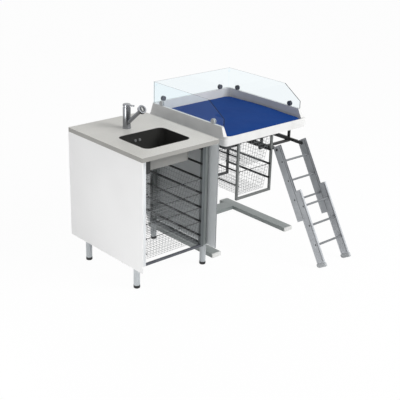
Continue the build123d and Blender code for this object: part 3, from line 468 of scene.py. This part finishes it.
def deselect():
    """Leaves edit mode and selects nothing."""
    if bpy.context.object and bpy.context.object.mode != "OBJECT":
        bpy.ops.object.mode_set(mode="OBJECT")
    bpy.ops.object.select_all(action="DESELECT")


def only(piece):
    """Selects one piece alone."""
    deselect()
    piece.select_set(True)
    bpy.context.view_layer.objects.active = piece


def settle(piece, name, material):
    """Puts the piece's place into its mesh, names it and gives it one material."""
    only(piece)
    bpy.ops.object.transform_apply(location=True, rotation=True, scale=True)
    piece.name = name
    piece.data.name = name
    piece.data.materials.clear()
    piece.data.materials.append(material)
    return piece


def add_modifier(piece, kind, name, **settings):
    """A new modifier with its settings."""
    modifier = piece.modifiers.new(name, kind)
    for key, value in settings.items():
        setattr(modifier, key, value)
    return modifier


def apply_modifier(piece, kind, **settings):
    """Adds a modifier and applies it at once."""
    only(piece)
    modifier = add_modifier(piece, kind, "work", **settings)
    bpy.ops.object.modifier_apply(modifier=modifier.name)
    return piece


def smooth(piece, angle=35):
    """Shades the piece smooth, but for edges that turn by more than the angle."""
    only(piece)
    bpy.ops.object.shade_smooth_by_angle(angle=radians(angle))
    return piece


def join(pieces):
    """Makes one piece of several."""
    deselect()
    for piece in pieces:
        piece.select_set(True)
    bpy.context.view_layer.objects.active = pieces[0]
    bpy.ops.object.join()
    return bpy.context.object


def merged(piece):
    """Joins the piece's doubled points and turns its faces outwards."""
    only(piece)
    bpy.ops.object.mode_set(mode="EDIT")
    bpy.ops.mesh.select_all(action="SELECT")
    bpy.ops.mesh.remove_doubles(threshold=DOUBLES_REACH)
    bpy.ops.mesh.normals_make_consistent(inside=False)
    bpy.ops.object.mode_set(mode="OBJECT")
    return piece


def select_faces(piece, wanted):
    """In edit mode, selects the faces whose centre and normal the test wants."""
    only(piece)
    bpy.ops.object.mode_set(mode="EDIT")
    bpy.ops.mesh.select_mode(type="FACE")
    bpy.ops.mesh.select_all(action="DESELECT")
    bpy.ops.object.mode_set(mode="OBJECT")
    for polygon in piece.data.polygons:
        polygon.select = wanted(polygon.center, polygon.normal)
    bpy.ops.object.mode_set(mode="EDIT")


def copy_of(pattern, place=Matrix()):
    """A copy with its own mesh, placed by a matrix."""
    twin = pattern.copy()
    twin.data = pattern.data.copy()
    bpy.context.collection.objects.link(twin)
    twin.data.transform(place)
    return twin


def body_of_node(node):
    """The name of the moving body that a CAD node belongs to."""
    return frame["nodes"][node]["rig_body"]


# CAD nodes that stay: their finish, and edges rounded as on the real piece


def dress_nodes():
    """Gives each CAD node its slot's finish, or one of its own."""
    for entry in frame["record"]["subparts"]:
        node = frame["nodes"][entry["node"]]
        node.data.materials.clear()
        node.data.materials.append(NODE_FINISH.get(entry["node"], MATERIALS[entry["material_slot"]]))


def round_edges(node, width):
    """Loose triangles are welded, then every sharp edge is rounded."""
    piece = frame["nodes"][node]
    add_modifier(piece, "WELD", "weld", merge_threshold=WELD_REACH)
    add_modifier(piece, "BEVEL", "edge", width=width, segments=2, limit_method="ANGLE",
                 angle_limit=radians(SHARP), use_clamp_overlap=True)
    for polygon in piece.data.polygons:
        polygon.use_smooth = True
    add_modifier(piece, "WEIGHTED_NORMAL", "shade", keep_sharp=True)


# The width of the rounded edges, and the nodes that have it
ROUNDED = {
    1.2 * MM: ["worktop", "side_panel_left", "side_panel_right", "rack_front_rail", "rack_runners_left",
               "rack_runners_right", "unit_runners", "switch_housing", "guard_clips", "ladder_shoes",
               "ladder_rails", "ladder_guides", "ladder_hanger", "tray_frame", "rack_frame"],
    2.5 * MM: ["base_foot_left", "base_foot_right", "base_crossbar", "basket_frame_front",
               "basket_frame_rear", "column_outer", "column_inner", "lift_motor"],
    2.0 * MM: ["upper_stringers", "lower_stringers", "foot_caps", "leg_feet", "clamp_knobs"],
    0.8 * MM: ["faucet_base", "faucet_body", "spray_head", "lever_stem", "faucet_lever",
               "drain_strainer", "drain_plug", "overflow_rosettes", "button_up", "button_down", "legs",
               "drain_trap", "bowl_housing", "sink_bowl", "base_pads", "upper_rungs", "lower_rungs",
               "column_glide"],
}


def round_nodes():
    for width, nodes in ROUNDED.items():
        for node in nodes:
            round_edges(node, width)


def edge_acrylic():
    """The top and front edges of each guard show the sawn edge; where an edge faces the front it is
    darker, as painted shade.
    """
    for node in ("guard_left", "guard_right", "guard_back"):
        piece = frame["nodes"][node]
        piece.data.materials.append(ACRYLIC_EDGE)
        piece.data.materials.append(ACRYLIC_FRONT_EDGE_SHADE)
        low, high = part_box(node)
        thin = min(range(3), key=lambda axis: high[axis] - low[axis])
        for polygon in piece.data.polygons:
            normal = polygon.normal
            broad = abs(normal[thin]) > FACING
            turned_away = normal.z < -SLANTED or normal.x > FACING or normal.y > FACING
            if broad or turned_away:
                polygon.material_index = 0
            else:
                polygon.material_index = 2 if normal.y < -TOWARDS_FRONT else 1


def finish_faces(node, material, wanted):
    """Gives a node's faces that the test wants a finish of their own."""
    piece = frame["nodes"][node]
    piece.data.materials.append(material)
    for polygon in piece.data.polygons:
        polygon.material_index = 1 if wanted(polygon.center, polygon.normal) else 0


def finish_cabinet_faces():
    """The rack is darkened as painted shade inside the cabinet, but its left and rear uprights are
    lighter, as painted light; the right panel has a darker front edge.
    """
    low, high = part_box("rack_frame")
    left = low.x + UPRIGHT_ROOM
    rear = high.y - UPRIGHT_ROOM
    finish_faces("rack_frame", LIT_RACK_ALUMINIUM,
                 lambda centre, normal: centre.x < left or centre.y > rear)
    finish_faces("side_panel_right", PANEL_EDGE, lambda centre, normal: normal.y < -FACING)


def finish_left_clamps():
    """The clamps on the left guard are light ones."""
    low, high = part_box("guard_left")
    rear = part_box("guard_back")[0].y
    finish_faces("clamp_knobs", LIGHT_CLAMP, lambda centre, normal: (
        low.x - CLAMP_ROOM < centre.x < high.x + CLAMP_ROOM and centre.y < rear - CLAMP_ROOM))


def shade_worktop_edge():
    """The upright faces of the worktop are darker: painted shade, as the light falls from above."""
    piece = frame["nodes"]["worktop"]
    piece.data.materials.append(WORKTOP_EDGE_SHADE)
    for polygon in piece.data.polygons:
        polygon.material_index = 0 if abs(polygon.normal.z) > SLANTED else 1


# Wire baskets


def wire_grid(across, up, steps_across, steps_up, middle, turn):
    """A flat grid of squares, turned and placed as one wall of a basket."""
    deselect()
    bpy.ops.mesh.primitive_grid_add(x_subdivisions=steps_across, y_subdivisions=steps_up, size=1)
    grid = bpy.context.object
    grid.scale = (across, up, 1)
    grid.rotation_euler = turn
    grid.location = middle
    bpy.ops.object.transform_apply(location=True, rotation=True, scale=True)
    return grid


def wire_basket(name, node):
    """Crossed wires that run up the walls, hung from a thick rim wire."""
    low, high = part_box(node)
    left, right = low.x + WALL_BAND, high.x - WALL_BAND
    front, rear = low.y + WALL_BAND, high.y - WALL_BAND
    bottom, top = low.z + MESH_WIRE / 2, high.z - RIM_WIRE / 2
    width, length, height = right - left, rear - front, top - bottom
    across, along = round(width / MESH_STEP), round(length / MESH_STEP)
    rows = NET_ROWS.get(node, SHALLOW_ROWS)
    x, y, z = (left + right) / 2, (front + rear) / 2, (bottom + top) / 2
    walls = [
        wire_grid(width, length, across, along, (x, y, bottom), (0, 0, 0)),
        wire_grid(width, height, across, rows, (x, front, z), (QUARTER, 0, 0)),
        wire_grid(width, height, across, rows, (x, rear, z), (QUARTER, 0, 0)),
        wire_grid(length, height, along, rows, (left, y, z), (QUARTER, 0, QUARTER)),
        wire_grid(length, height, along, rows, (right, y, z), (QUARTER, 0, QUARTER)),
    ]
    net = merged(join(walls))
    draw_in(net, (x, y), bottom, top, rows, width, length)
    apply_modifier(net, "WIREFRAME", thickness=MESH_WIRE, use_replace=True, use_even_offset=True,
                   use_boundary=True)
    rim = basket_rim(low, high, (x, y, top))
    ties = rim_ties(low, high, left, right, front, rear, top, across, along)
    settle(rim, "rim", RIM_STEEL)
    settle(net, "net", MATERIALS["wire"])
    settle(ties, "ties", RIM_STEEL)
    piece = join([net, rim, ties])
    piece.name = name
    piece.data.name = name
    smooth(piece, angle=SHARP)
    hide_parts(node)
    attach(piece, body_of_node(node))


def basket_rim(low, high, middle):
    """The thick wire round the top, with rounded corners."""
    deselect()
    bpy.ops.mesh.primitive_plane_add(size=1, location=middle)
    rim = bpy.context.object
    rim.scale = (high.x - low.x - RIM_WIRE, high.y - low.y - RIM_WIRE, 1)
    bpy.ops.object.transform_apply(location=True, rotation=True, scale=True)
    bpy.ops.object.mode_set(mode="EDIT")
    bpy.ops.mesh.bevel(affect="VERTICES", offset=RIM_CORNER, segments=RIM_CORNER_STEPS)
    bpy.ops.object.mode_set(mode="OBJECT")
    apply_modifier(rim, "WIREFRAME", thickness=RIM_WIRE, use_replace=True, use_boundary=True)
    return apply_modifier(rim, "BEVEL", width=RIM_EDGE, segments=2, limit_method="ANGLE")


def draw_in(net, middle, bottom, top, rows, width, length):
    """Each row of the net below the rim is narrower, down to the bottom."""
    for row in range(rows):
        z = bottom + (top - bottom) * row / rows
        inward = 2 * NET_TAPER * (1 - row / rows)
        select_row(net, z)
        bpy.ops.transform.resize(value=(1 - inward / width, 1 - inward / length, 1),
                                 center_override=(*middle, z))
        bpy.ops.object.mode_set(mode="OBJECT")


def select_row(piece, z):
    """In edit mode, selects the vertices at one height."""
    only(piece)
    bpy.ops.object.mode_set(mode="EDIT")
    bpy.ops.mesh.select_mode(type="VERT")
    bpy.ops.mesh.select_all(action="DESELECT")
    bpy.ops.object.mode_set(mode="OBJECT")
    for vertex in piece.data.vertices:
        vertex.select = abs(vertex.co.z - z) < MESH_WIRE
    bpy.ops.object.mode_set(mode="EDIT")


def rim_ties(low, high, left, right, front, rear, top, across, along):
    """Short wires from the tops of the walls out to the rim, at every second upright wire."""
    reach = WALL_BAND + MESH_WIRE / 2
    spots = []
    for step in range(0, along + 1, TIE_EVERY):
        y = front + (rear - front) * step / along
        spots += [(low.x + reach / 2, y, 0), (high.x - reach / 2, y, 0)]
    for step in range(0, across + 1, TIE_EVERY):
        x = left + (right - left) * step / across
        spots += [(x, low.y + reach / 2, QUARTER), (x, high.y - reach / 2, QUARTER)]
    deselect()
    bpy.ops.mesh.primitive_cylinder_add(vertices=TIE_SIDES, radius=MESH_WIRE / 2, depth=reach,
                                        rotation=(0, QUARTER, 0))
    bpy.ops.object.transform_apply(location=False, rotation=True, scale=False)
    pattern = bpy.context.object
    ties = [copy_of(pattern, Matrix.Translation((x, y, top)) @ Matrix.Rotation(turn, 4, "Z"))
            for x, y, turn in spots]
    bpy.data.objects.remove(pattern)
    return join(ties)


def make_baskets():
    wire_basket("upper_nappy_basket", "unit_basket_upper")
    wire_basket("lower_nappy_basket", "unit_basket_lower")
    wire_basket("deep_drawer_basket", "cabinet_basket_1")
    for number in (2, 3, 4):
        wire_basket(f"drawer_basket_{number}", f"cabinet_basket_{number}")


# Tray


def rounded_block(low, high, radius):
    """A block with its four upright edges rounded."""
    deselect()
    middle = ((low[0] + high[0]) / 2, (low[1] + high[1]) / 2, low[2])
    bpy.ops.mesh.primitive_plane_add(size=1, location=middle)
    piece = bpy.context.object
    piece.scale = (high[0] - low[0], high[1] - low[1], 1)
    bpy.ops.object.transform_apply(location=True, rotation=True, scale=True)
    bpy.ops.object.mode_set(mode="EDIT")
    bpy.ops.mesh.select_all(action="SELECT")
    bpy.ops.mesh.bevel(affect="VERTICES", offset=radius, segments=TRAY_CORNER_STEPS)
    bpy.ops.mesh.select_all(action="SELECT")
    bpy.ops.mesh.extrude_region_move(TRANSFORM_OT_translate={"value": (0, 0, high[2] - low[2])})
    bpy.ops.mesh.select_all(action="SELECT")
    bpy.ops.mesh.normals_make_consistent(inside=False)
    return piece


def block(low, high, name, material, edge):
    """A block between two corners, with its edges rounded."""
    deselect()
    middle = [(a + b) / 2 for a, b in zip(low, high)]
    bpy.ops.mesh.primitive_cube_add(size=1, location=middle)
    piece = bpy.context.object
    piece.scale = [b - a for a, b in zip(low, high)]
    settle(piece, name, material)
    return apply_modifier(piece, "BEVEL", width=edge, segments=2)


def cut_away(piece, cutter):
    """Takes the cutter's room out of the piece."""
    apply_modifier(piece, "BOOLEAN", operation="DIFFERENCE", object=cutter, solver="EXACT")
    bpy.data.objects.remove(cutter)


def tray_front_cutter(low, high):
    """What is missing above the low front edge: a block whose rear face slopes."""
    front_top = low.z + FRONT_HEIGHT
    near, top = low.y - OVERRUN, high.z + OVERRUN
    rear = low.y + FRONT_FLAT + FRONT_SLOPE
    size = (high.x - low.x + 2 * OVERRUN, rear - near, top - front_top)
    deselect()
    bpy.ops.mesh.primitive_cube_add(size=1, location=((low.x + high.x) / 2, (near + rear) / 2,
                                                      (front_top + top) / 2))
    cutter = bpy.context.object
    cutter.scale = size
    bpy.ops.object.transform_apply(location=True, rotation=True, scale=True)
    for vertex in cutter.data.vertices:
        if vertex.co.y > low.y and vertex.co.z < high.z:
            vertex.co.y -= FRONT_SLOPE
    return cutter


def make_tray():
    """Thermoformed: a skirt, a ledge, walls that lean in, and a low front edge."""
    low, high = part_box("changing_tray")
    wall = high.z - low.z - SKIRT_HEIGHT
    tray = rounded_block(low, (high.x, high.y, low.z + SKIRT_HEIGHT), TRAY_CORNER)
    select_faces(tray, lambda centre, normal: normal.z > FACING)
    bpy.ops.mesh.inset(thickness=LEDGE, depth=0, use_even_offset=True)
    middle = (low + high) / 2
    width, length = high.x - low.x - 2 * LEDGE, high.y - low.y - LEDGE - FRONT_LEDGE
    bpy.ops.transform.resize(value=(1, length / (length + FRONT_LEDGE - LEDGE), 1),
                             center_override=(middle.x, high.y - LEDGE, low.z + SKIRT_HEIGHT))
    bpy.ops.mesh.extrude_region_move(TRANSFORM_OT_translate={"value": (0, 0, wall)})
    bpy.ops.transform.resize(value=(1 - 2 * WALL_LEAN_IN / width, 1 - WALL_LEAN_IN / length, 1),
                             center_override=(middle.x, low.y + FRONT_LEDGE, high.z))
    select_faces(tray, lambda centre, normal: normal.z < -FACING)
    bpy.ops.mesh.inset(thickness=FLOOR_SKIN, depth=0, use_even_offset=True)
    bpy.ops.transform.translate(value=(0, 0, FLOOR_UP - FLOOR_SKIN))
    bpy.ops.object.mode_set(mode="OBJECT")
    cavity = rounded_block((low.x + WALL_INSET, low.y + FRONT_WALL, low.z + FLOOR_UP),
                           (high.x - WALL_INSET, high.y - WALL_INSET, high.z + OVERRUN), TRAY_CORNER)
    cut_away(tray, cavity)
    cut_away(tray, tray_front_cutter(low, high))
    settle(merged(tray), "tray_shell", MATERIALS["tray_white"])
    add_modifier(tray, "BEVEL", "edge", width=TRAY_EDGE, segments=3, limit_method="ANGLE",
                 angle_limit=radians(TRAY_EDGE_TURN))
    smooth(tray, angle=SHARP)
    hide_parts("changing_tray")
    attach(tray, "tray")


# Mattress


def make_mattress():
    """The closed pad is swollen by a cloth simulation and held inside the tray."""
    pad = copy_of(frame["nodes"]["mattress"])
    pad.parent = None
    pad.hide_render = False
    for key in list(pad.keys()):
        del pad[key]
    merged(pad)
    low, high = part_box("mattress")
    middle = (low + high) / 2
    size = high - low
    grow = (-2 * MATTRESS_SHRINK, -2 * MATTRESS_SHRINK, MATTRESS_RAISE)
    share = [1 + grow[axis] / size[axis] for axis in range(3)]
    to_raised_middle = Matrix.Translation(middle + Vector((0, 0, MATTRESS_RAISE / 2)))
    pad.data.transform(to_raised_middle @ Matrix.Diagonal((*share, 1)) @ Matrix.Translation(-middle))
    apply_modifier(pad, "REMESH", mode="VOXEL", voxel_size=MATTRESS_VOXEL)
    start = [vertex.co.copy() for vertex in pad.data.vertices]
    swell(pad)
    for vertex, before in zip(pad.data.vertices, start):
        move = vertex.co - before
        if move.length > MATTRESS_SWELL:
            vertex.co = before + move.normalized() * MATTRESS_SWELL
        vertex.co.z = max(vertex.co.z, low.z)
        for axis in (0, 1):
            vertex.co[axis] = min(max(vertex.co[axis], low[axis]), high[axis])
    settle(pad, "mattress_pad", MATERIALS["mattress_blue"])
    add_modifier(pad, "SUBSURF", "smooth", levels=1, render_levels=1)
    only(pad)
    bpy.ops.object.shade_smooth()
    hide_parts("mattress")
    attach(pad, "mattress")


def swell(pad):
    """Blows the pad up from inside, without its weight."""
    only(pad)
    cloth = add_modifier(pad, "CLOTH", "cloth")
    settings = cloth.settings
    settings.use_pressure = True
    settings.uniform_pressure_force = CLOTH_PRESSURE
    settings.effector_weights.gravity = 0
    settings.quality = CLOTH_QUALITY
    for number in range(1, CLOTH_FRAMES + 1):
        bpy.context.scene.frame_set(number)
    bpy.ops.object.modifier_apply(modifier=cloth.name)
    bpy.context.scene.frame_set(1)


# Ladder screws, and dark strips of painted shade


def rung_places(node):
    """The middle of each rung, from the first to the last, as (y, z)."""
    low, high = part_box(node)
    half_y = (RUNG_DEPTH * cos(LADDER_LEAN) + RUNG_HEIGHT * sin(LADDER_LEAN)) / 2
    half_z = (RUNG_DEPTH * sin(LADDER_LEAN) + RUNG_HEIGHT * cos(LADDER_LEAN)) / 2
    first = Vector((high.y - half_y, high.z - half_z))
    last = Vector((low.y + half_y, low.z + half_z))
    return [first.lerp(last, step / (RUNG_COUNT - 1)) for step in range(RUNG_COUNT)]


def stringer_faces(node):
    """The outer face of the left and the right stringer, as X and its outward direction."""
    low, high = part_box(node)
    return ((low.x, -1), (high.x, 1))


def screw(name):
    """A pan head with a round socket."""
    deselect()
    bpy.ops.mesh.primitive_cylinder_add(vertices=SCREW_SIDES, radius=SCREW_RADIUS, depth=SCREW_HEIGHT)
    head = bpy.context.object
    select_faces(head, lambda centre, normal: normal.z > FACING)
    bpy.ops.mesh.bevel(offset=SCREW_EDGE, segments=2)
    select_faces(head, lambda centre, normal: normal.z > STRAIGHT)
    bpy.ops.mesh.inset(thickness=SOCKET_WALL)
    bpy.ops.mesh.extrude_region_move(TRANSFORM_OT_translate={"value": (0, 0, -SOCKET_DEPTH)})
    bpy.ops.object.mode_set(mode="OBJECT")
    return settle(head, name, MATERIALS["black_steel"])


def make_screws():
    """A screw at each end of each rung."""
    pattern = screw("screw_pattern")
    for section in ("upper", "lower"):
        heads = []
        for x, side in stringer_faces(f"{section}_stringers"):
            for y, z in rung_places(f"{section}_rungs"):
                place = Matrix.Translation((x + side * SCREW_HEIGHT / 2, y, z))
                heads.append(copy_of(pattern, place @ Matrix.Rotation(side * QUARTER, 4, "Y")))
        piece = smooth(settle(join(heads), f"{section}_rung_screws", MATERIALS["black_steel"]))
        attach(piece, f"ladder_{section}")
    bpy.data.objects.remove(pattern)


def make_shade_strips():
    """A thin dark strip along the left face of each stringer, near its front edge: painted shade along
    the edge.
    """
    back_up = Vector((0, sin(LADDER_LEAN), cos(LADDER_LEAN)))
    forward = Vector((0, -cos(LADDER_LEAN), sin(LADDER_LEAN)))
    for section in ("upper", "lower"):
        low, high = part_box(f"{section}_stringers")
        top = Vector((0, high.y, high.z - STRINGER_DEPTH * sin(LADDER_LEAN)))
        length = (top.z - low.z) / cos(LADDER_LEAN)
        middle = top - back_up * length / 2 + forward * (STRINGER_DEPTH - SHADE_STRIP_FROM_EDGE)
        strips = []
        for x in (low.x, high.x - STRINGER_THICKNESS):
            deselect()
            bpy.ops.mesh.primitive_cube_add(size=1, location=(x, middle.y, middle.z),
                                            rotation=(-LADDER_LEAN, 0, 0))
            strip = bpy.context.object
            strip.scale = (2 * SHADE_STRIP_PROUD, SHADE_STRIP_WIDTH, length - 2 * SHADE_STRIP_END)
            strips.append(settle(strip, "strip", MATERIALS["black_plastic"]))
        piece = join(strips)
        piece.name = f"{section}_stringer_shade_strips"
        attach(piece, f"ladder_{section}")


# Spray nozzle


def make_nozzle_plate():
    """A dark plate in the recess of the spray head's face, with a light bar down its middle."""
    low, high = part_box("spray_head")
    radius = (high.x - low.x) / 2
    forward = Vector((0, -cos(SPOUT_RISE), sin(SPOUT_RISE)))
    face = Vector(((low.x + high.x) / 2, low.y + radius * sin(SPOUT_RISE),
                   high.z - radius * cos(SPOUT_RISE)))
    turn = (QUARTER - SPOUT_RISE, 0, 0)
    middle = face - forward * (RECESS_DEPTH - PLATE_THICKNESS / 2)
    deselect()
    bpy.ops.mesh.primitive_cylinder_add(vertices=ROUND_SIDES, radius=PLATE_RADIUS, depth=PLATE_THICKNESS,
                                        location=middle, rotation=turn)
    plate = settle(bpy.context.object, "plate", NOZZLE_PLATE)
    deselect()
    bpy.ops.mesh.primitive_cube_add(size=1, location=middle + forward * PLATE_THICKNESS / 2,
                                    rotation=turn)
    bar = bpy.context.object
    bar.scale = (BAR_WIDTH, BAR_LENGTH, PLATE_THICKNESS)
    bar = settle(bar, "bar", MATERIALS["cap_light"])
    piece = join([plate, bar])
    piece.name = "spray_nozzle_plate"
    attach(piece, body_of_node("spray_head"))
    smooth(piece)


# Painted shade in the cabinet


def make_leg_shade_sleeves():
    """Darker grey covers round the four legs, from the rack up to the worktop: painted shade on the legs
    inside the cabinet.
    """
    low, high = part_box("legs")
    bottom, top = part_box("rack_frame")[0].z, high.z - SLEEVE_SKIN
    sleeves = []
    for x in (low.x + LEG_RADIUS, high.x - LEG_RADIUS):
        for y in (low.y + LEG_RADIUS, high.y - LEG_RADIUS):
            deselect()
            bpy.ops.mesh.primitive_cylinder_add(vertices=ROUND_SIDES, radius=LEG_RADIUS + SLEEVE_SKIN,
                                                depth=top - bottom, location=(x, y, (bottom + top) / 2))
            sleeves.append(bpy.context.object)
    piece = smooth(settle(join(sleeves), "leg_shade_sleeves", MATERIALS["base_grey"]))
    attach(piece, body_of_node("legs"))


def make_bowl_shade_block():
    """A black block at the left end of the bowl's housing under the worktop: painted shade, standing for
    the housing's left side in deep shadow.
    """
    low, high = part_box("bowl_housing")
    front = low.y + SHADE_BLOCK_FROM_FRONT
    piece = block((low.x - SHADE_BLOCK_WIDTH, front, high.z - SHADE_BLOCK_HEIGHT),
                  (low.x, front + SHADE_BLOCK_DEPTH, high.z - EDGE_SOFT),
                  "bowl_shade_block", MATERIALS["black_plastic"], EDGE_SOFT)
    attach(piece, body_of_node("bowl_housing"))


# Studio


def background_rays(tree):
    """One for a ray that the camera sends, or that glass or metal sends on, and else zero."""
    rays = add_node(tree, "ShaderNodeLightPath")
    seen = add_node(tree, "ShaderNodeMath", {0: rays.outputs["Is Camera Ray"],
                                             1: rays.outputs["Is Glossy Ray"]}, operation="MAXIMUM")
    return add_node(tree, "ShaderNodeMath", {0: seen.outputs[0], 1: rays.outputs["Is Transmission Ray"]},
                    operation="MAXIMUM").outputs[0]


def make_floor():
    """A pale floor, seen as white but for a faint shadow of the object."""
    deselect()
    bpy.ops.mesh.primitive_plane_add(size=FLOOR_SIZE, location=(0, 0, -FLOOR_DROP))
    floor = bpy.context.object
    floor.name = "studio_floor"
    material = bpy.data.materials.new("studio_floor")
    material.use_nodes = True
    tree = material.node_tree
    tree.nodes.clear()
    matt = add_node(tree, "ShaderNodeBsdfDiffuse", {"Color": linear("#f4f4f4")})
    glow = add_node(tree, "ShaderNodeEmission", {"Color": (1, 1, 1, 1), "Strength": 1})
    seen = add_node(tree, "ShaderNodeMixShader", {0: FLOOR_GLOW_SHARE, 1: matt.outputs[0],
                                                  2: glow.outputs[0]})
    mix = add_node(tree, "ShaderNodeMixShader", {0: background_rays(tree), 1: matt.outputs[0],
                                                 2: seen.outputs[0]})
    add_node(tree, "ShaderNodeOutputMaterial", {"Surface": mix.outputs[0]})
    floor.data.materials.append(material)


def make_world():
    """White where the camera, glass or metal sees it, and a dimmer even light elsewhere."""
    world = bpy.data.worlds.new("studio")
    bpy.context.scene.world = world
    world.use_nodes = True
    tree = world.node_tree
    tree.nodes.clear()
    strength = add_node(tree, "ShaderNodeMapRange", {
        "Value": background_rays(tree), "To Min": WORLD_LIGHT, "To Max": 1})
    sky = add_node(tree, "ShaderNodeBackground", {
        "Color": (1, 1, 1, 1), "Strength": strength.outputs[0]})
    add_node(tree, "ShaderNodeOutputWorld", {"Surface": sky.outputs[0]})


def area_lamp(name, place, target, size, power):
    """A soft square lamp that points at its target."""
    lamp = bpy.data.lights.new(name, "AREA")
    lamp.size = size
    lamp.energy = power
    holder = bpy.data.objects.new(name, lamp)
    bpy.context.scene.collection.objects.link(holder)
    holder.location = place
    holder.rotation_euler = (Vector(target) - Vector(place)).to_track_quat("-Z", "Y").to_euler()


def make_camera():
    """The photo's view: a place, a heading from +Y towards +X, a drop and a roll."""
    heading, drop, roll = radians(CAMERA_HEADING), radians(CAMERA_DROP), radians(CAMERA_ROLL)
    forward = Vector((sin(heading) * cos(drop), cos(heading) * cos(drop), -sin(drop)))
    right = Vector((cos(heading), -sin(heading), 0))
    up = right.cross(forward)
    turned_right = cos(roll) * right + sin(roll) * up
    turned_up = -sin(roll) * right + cos(roll) * up
    camera = bpy.data.cameras.new("camera")
    camera.sensor_width = SENSOR
    camera.angle = 2 * atan(PICTURE_PIXELS / 2 / FOCAL_PIXELS)
    holder = bpy.data.objects.new("camera", camera)
    bpy.context.scene.collection.objects.link(holder)
    turn = Matrix((turned_right, turned_up, -forward)).transposed().to_4x4()
    holder.matrix_world = Matrix.Translation(CAMERA_PLACE) @ turn
    bpy.context.scene.camera = holder


dress_nodes()
round_nodes()
edge_acrylic()
shade_worktop_edge()
finish_cabinet_faces()
finish_left_clamps()
make_baskets()
make_tray()
make_mattress()
make_screws()
make_shade_strips()
make_nozzle_plate()
make_leg_shade_sleeves()
make_bowl_shade_block()
make_floor()
make_world()
for lamp_values in LAMPS:
    area_lamp(*lamp_values)
make_camera()
bpy.context.scene.view_settings.view_transform = "Standard"
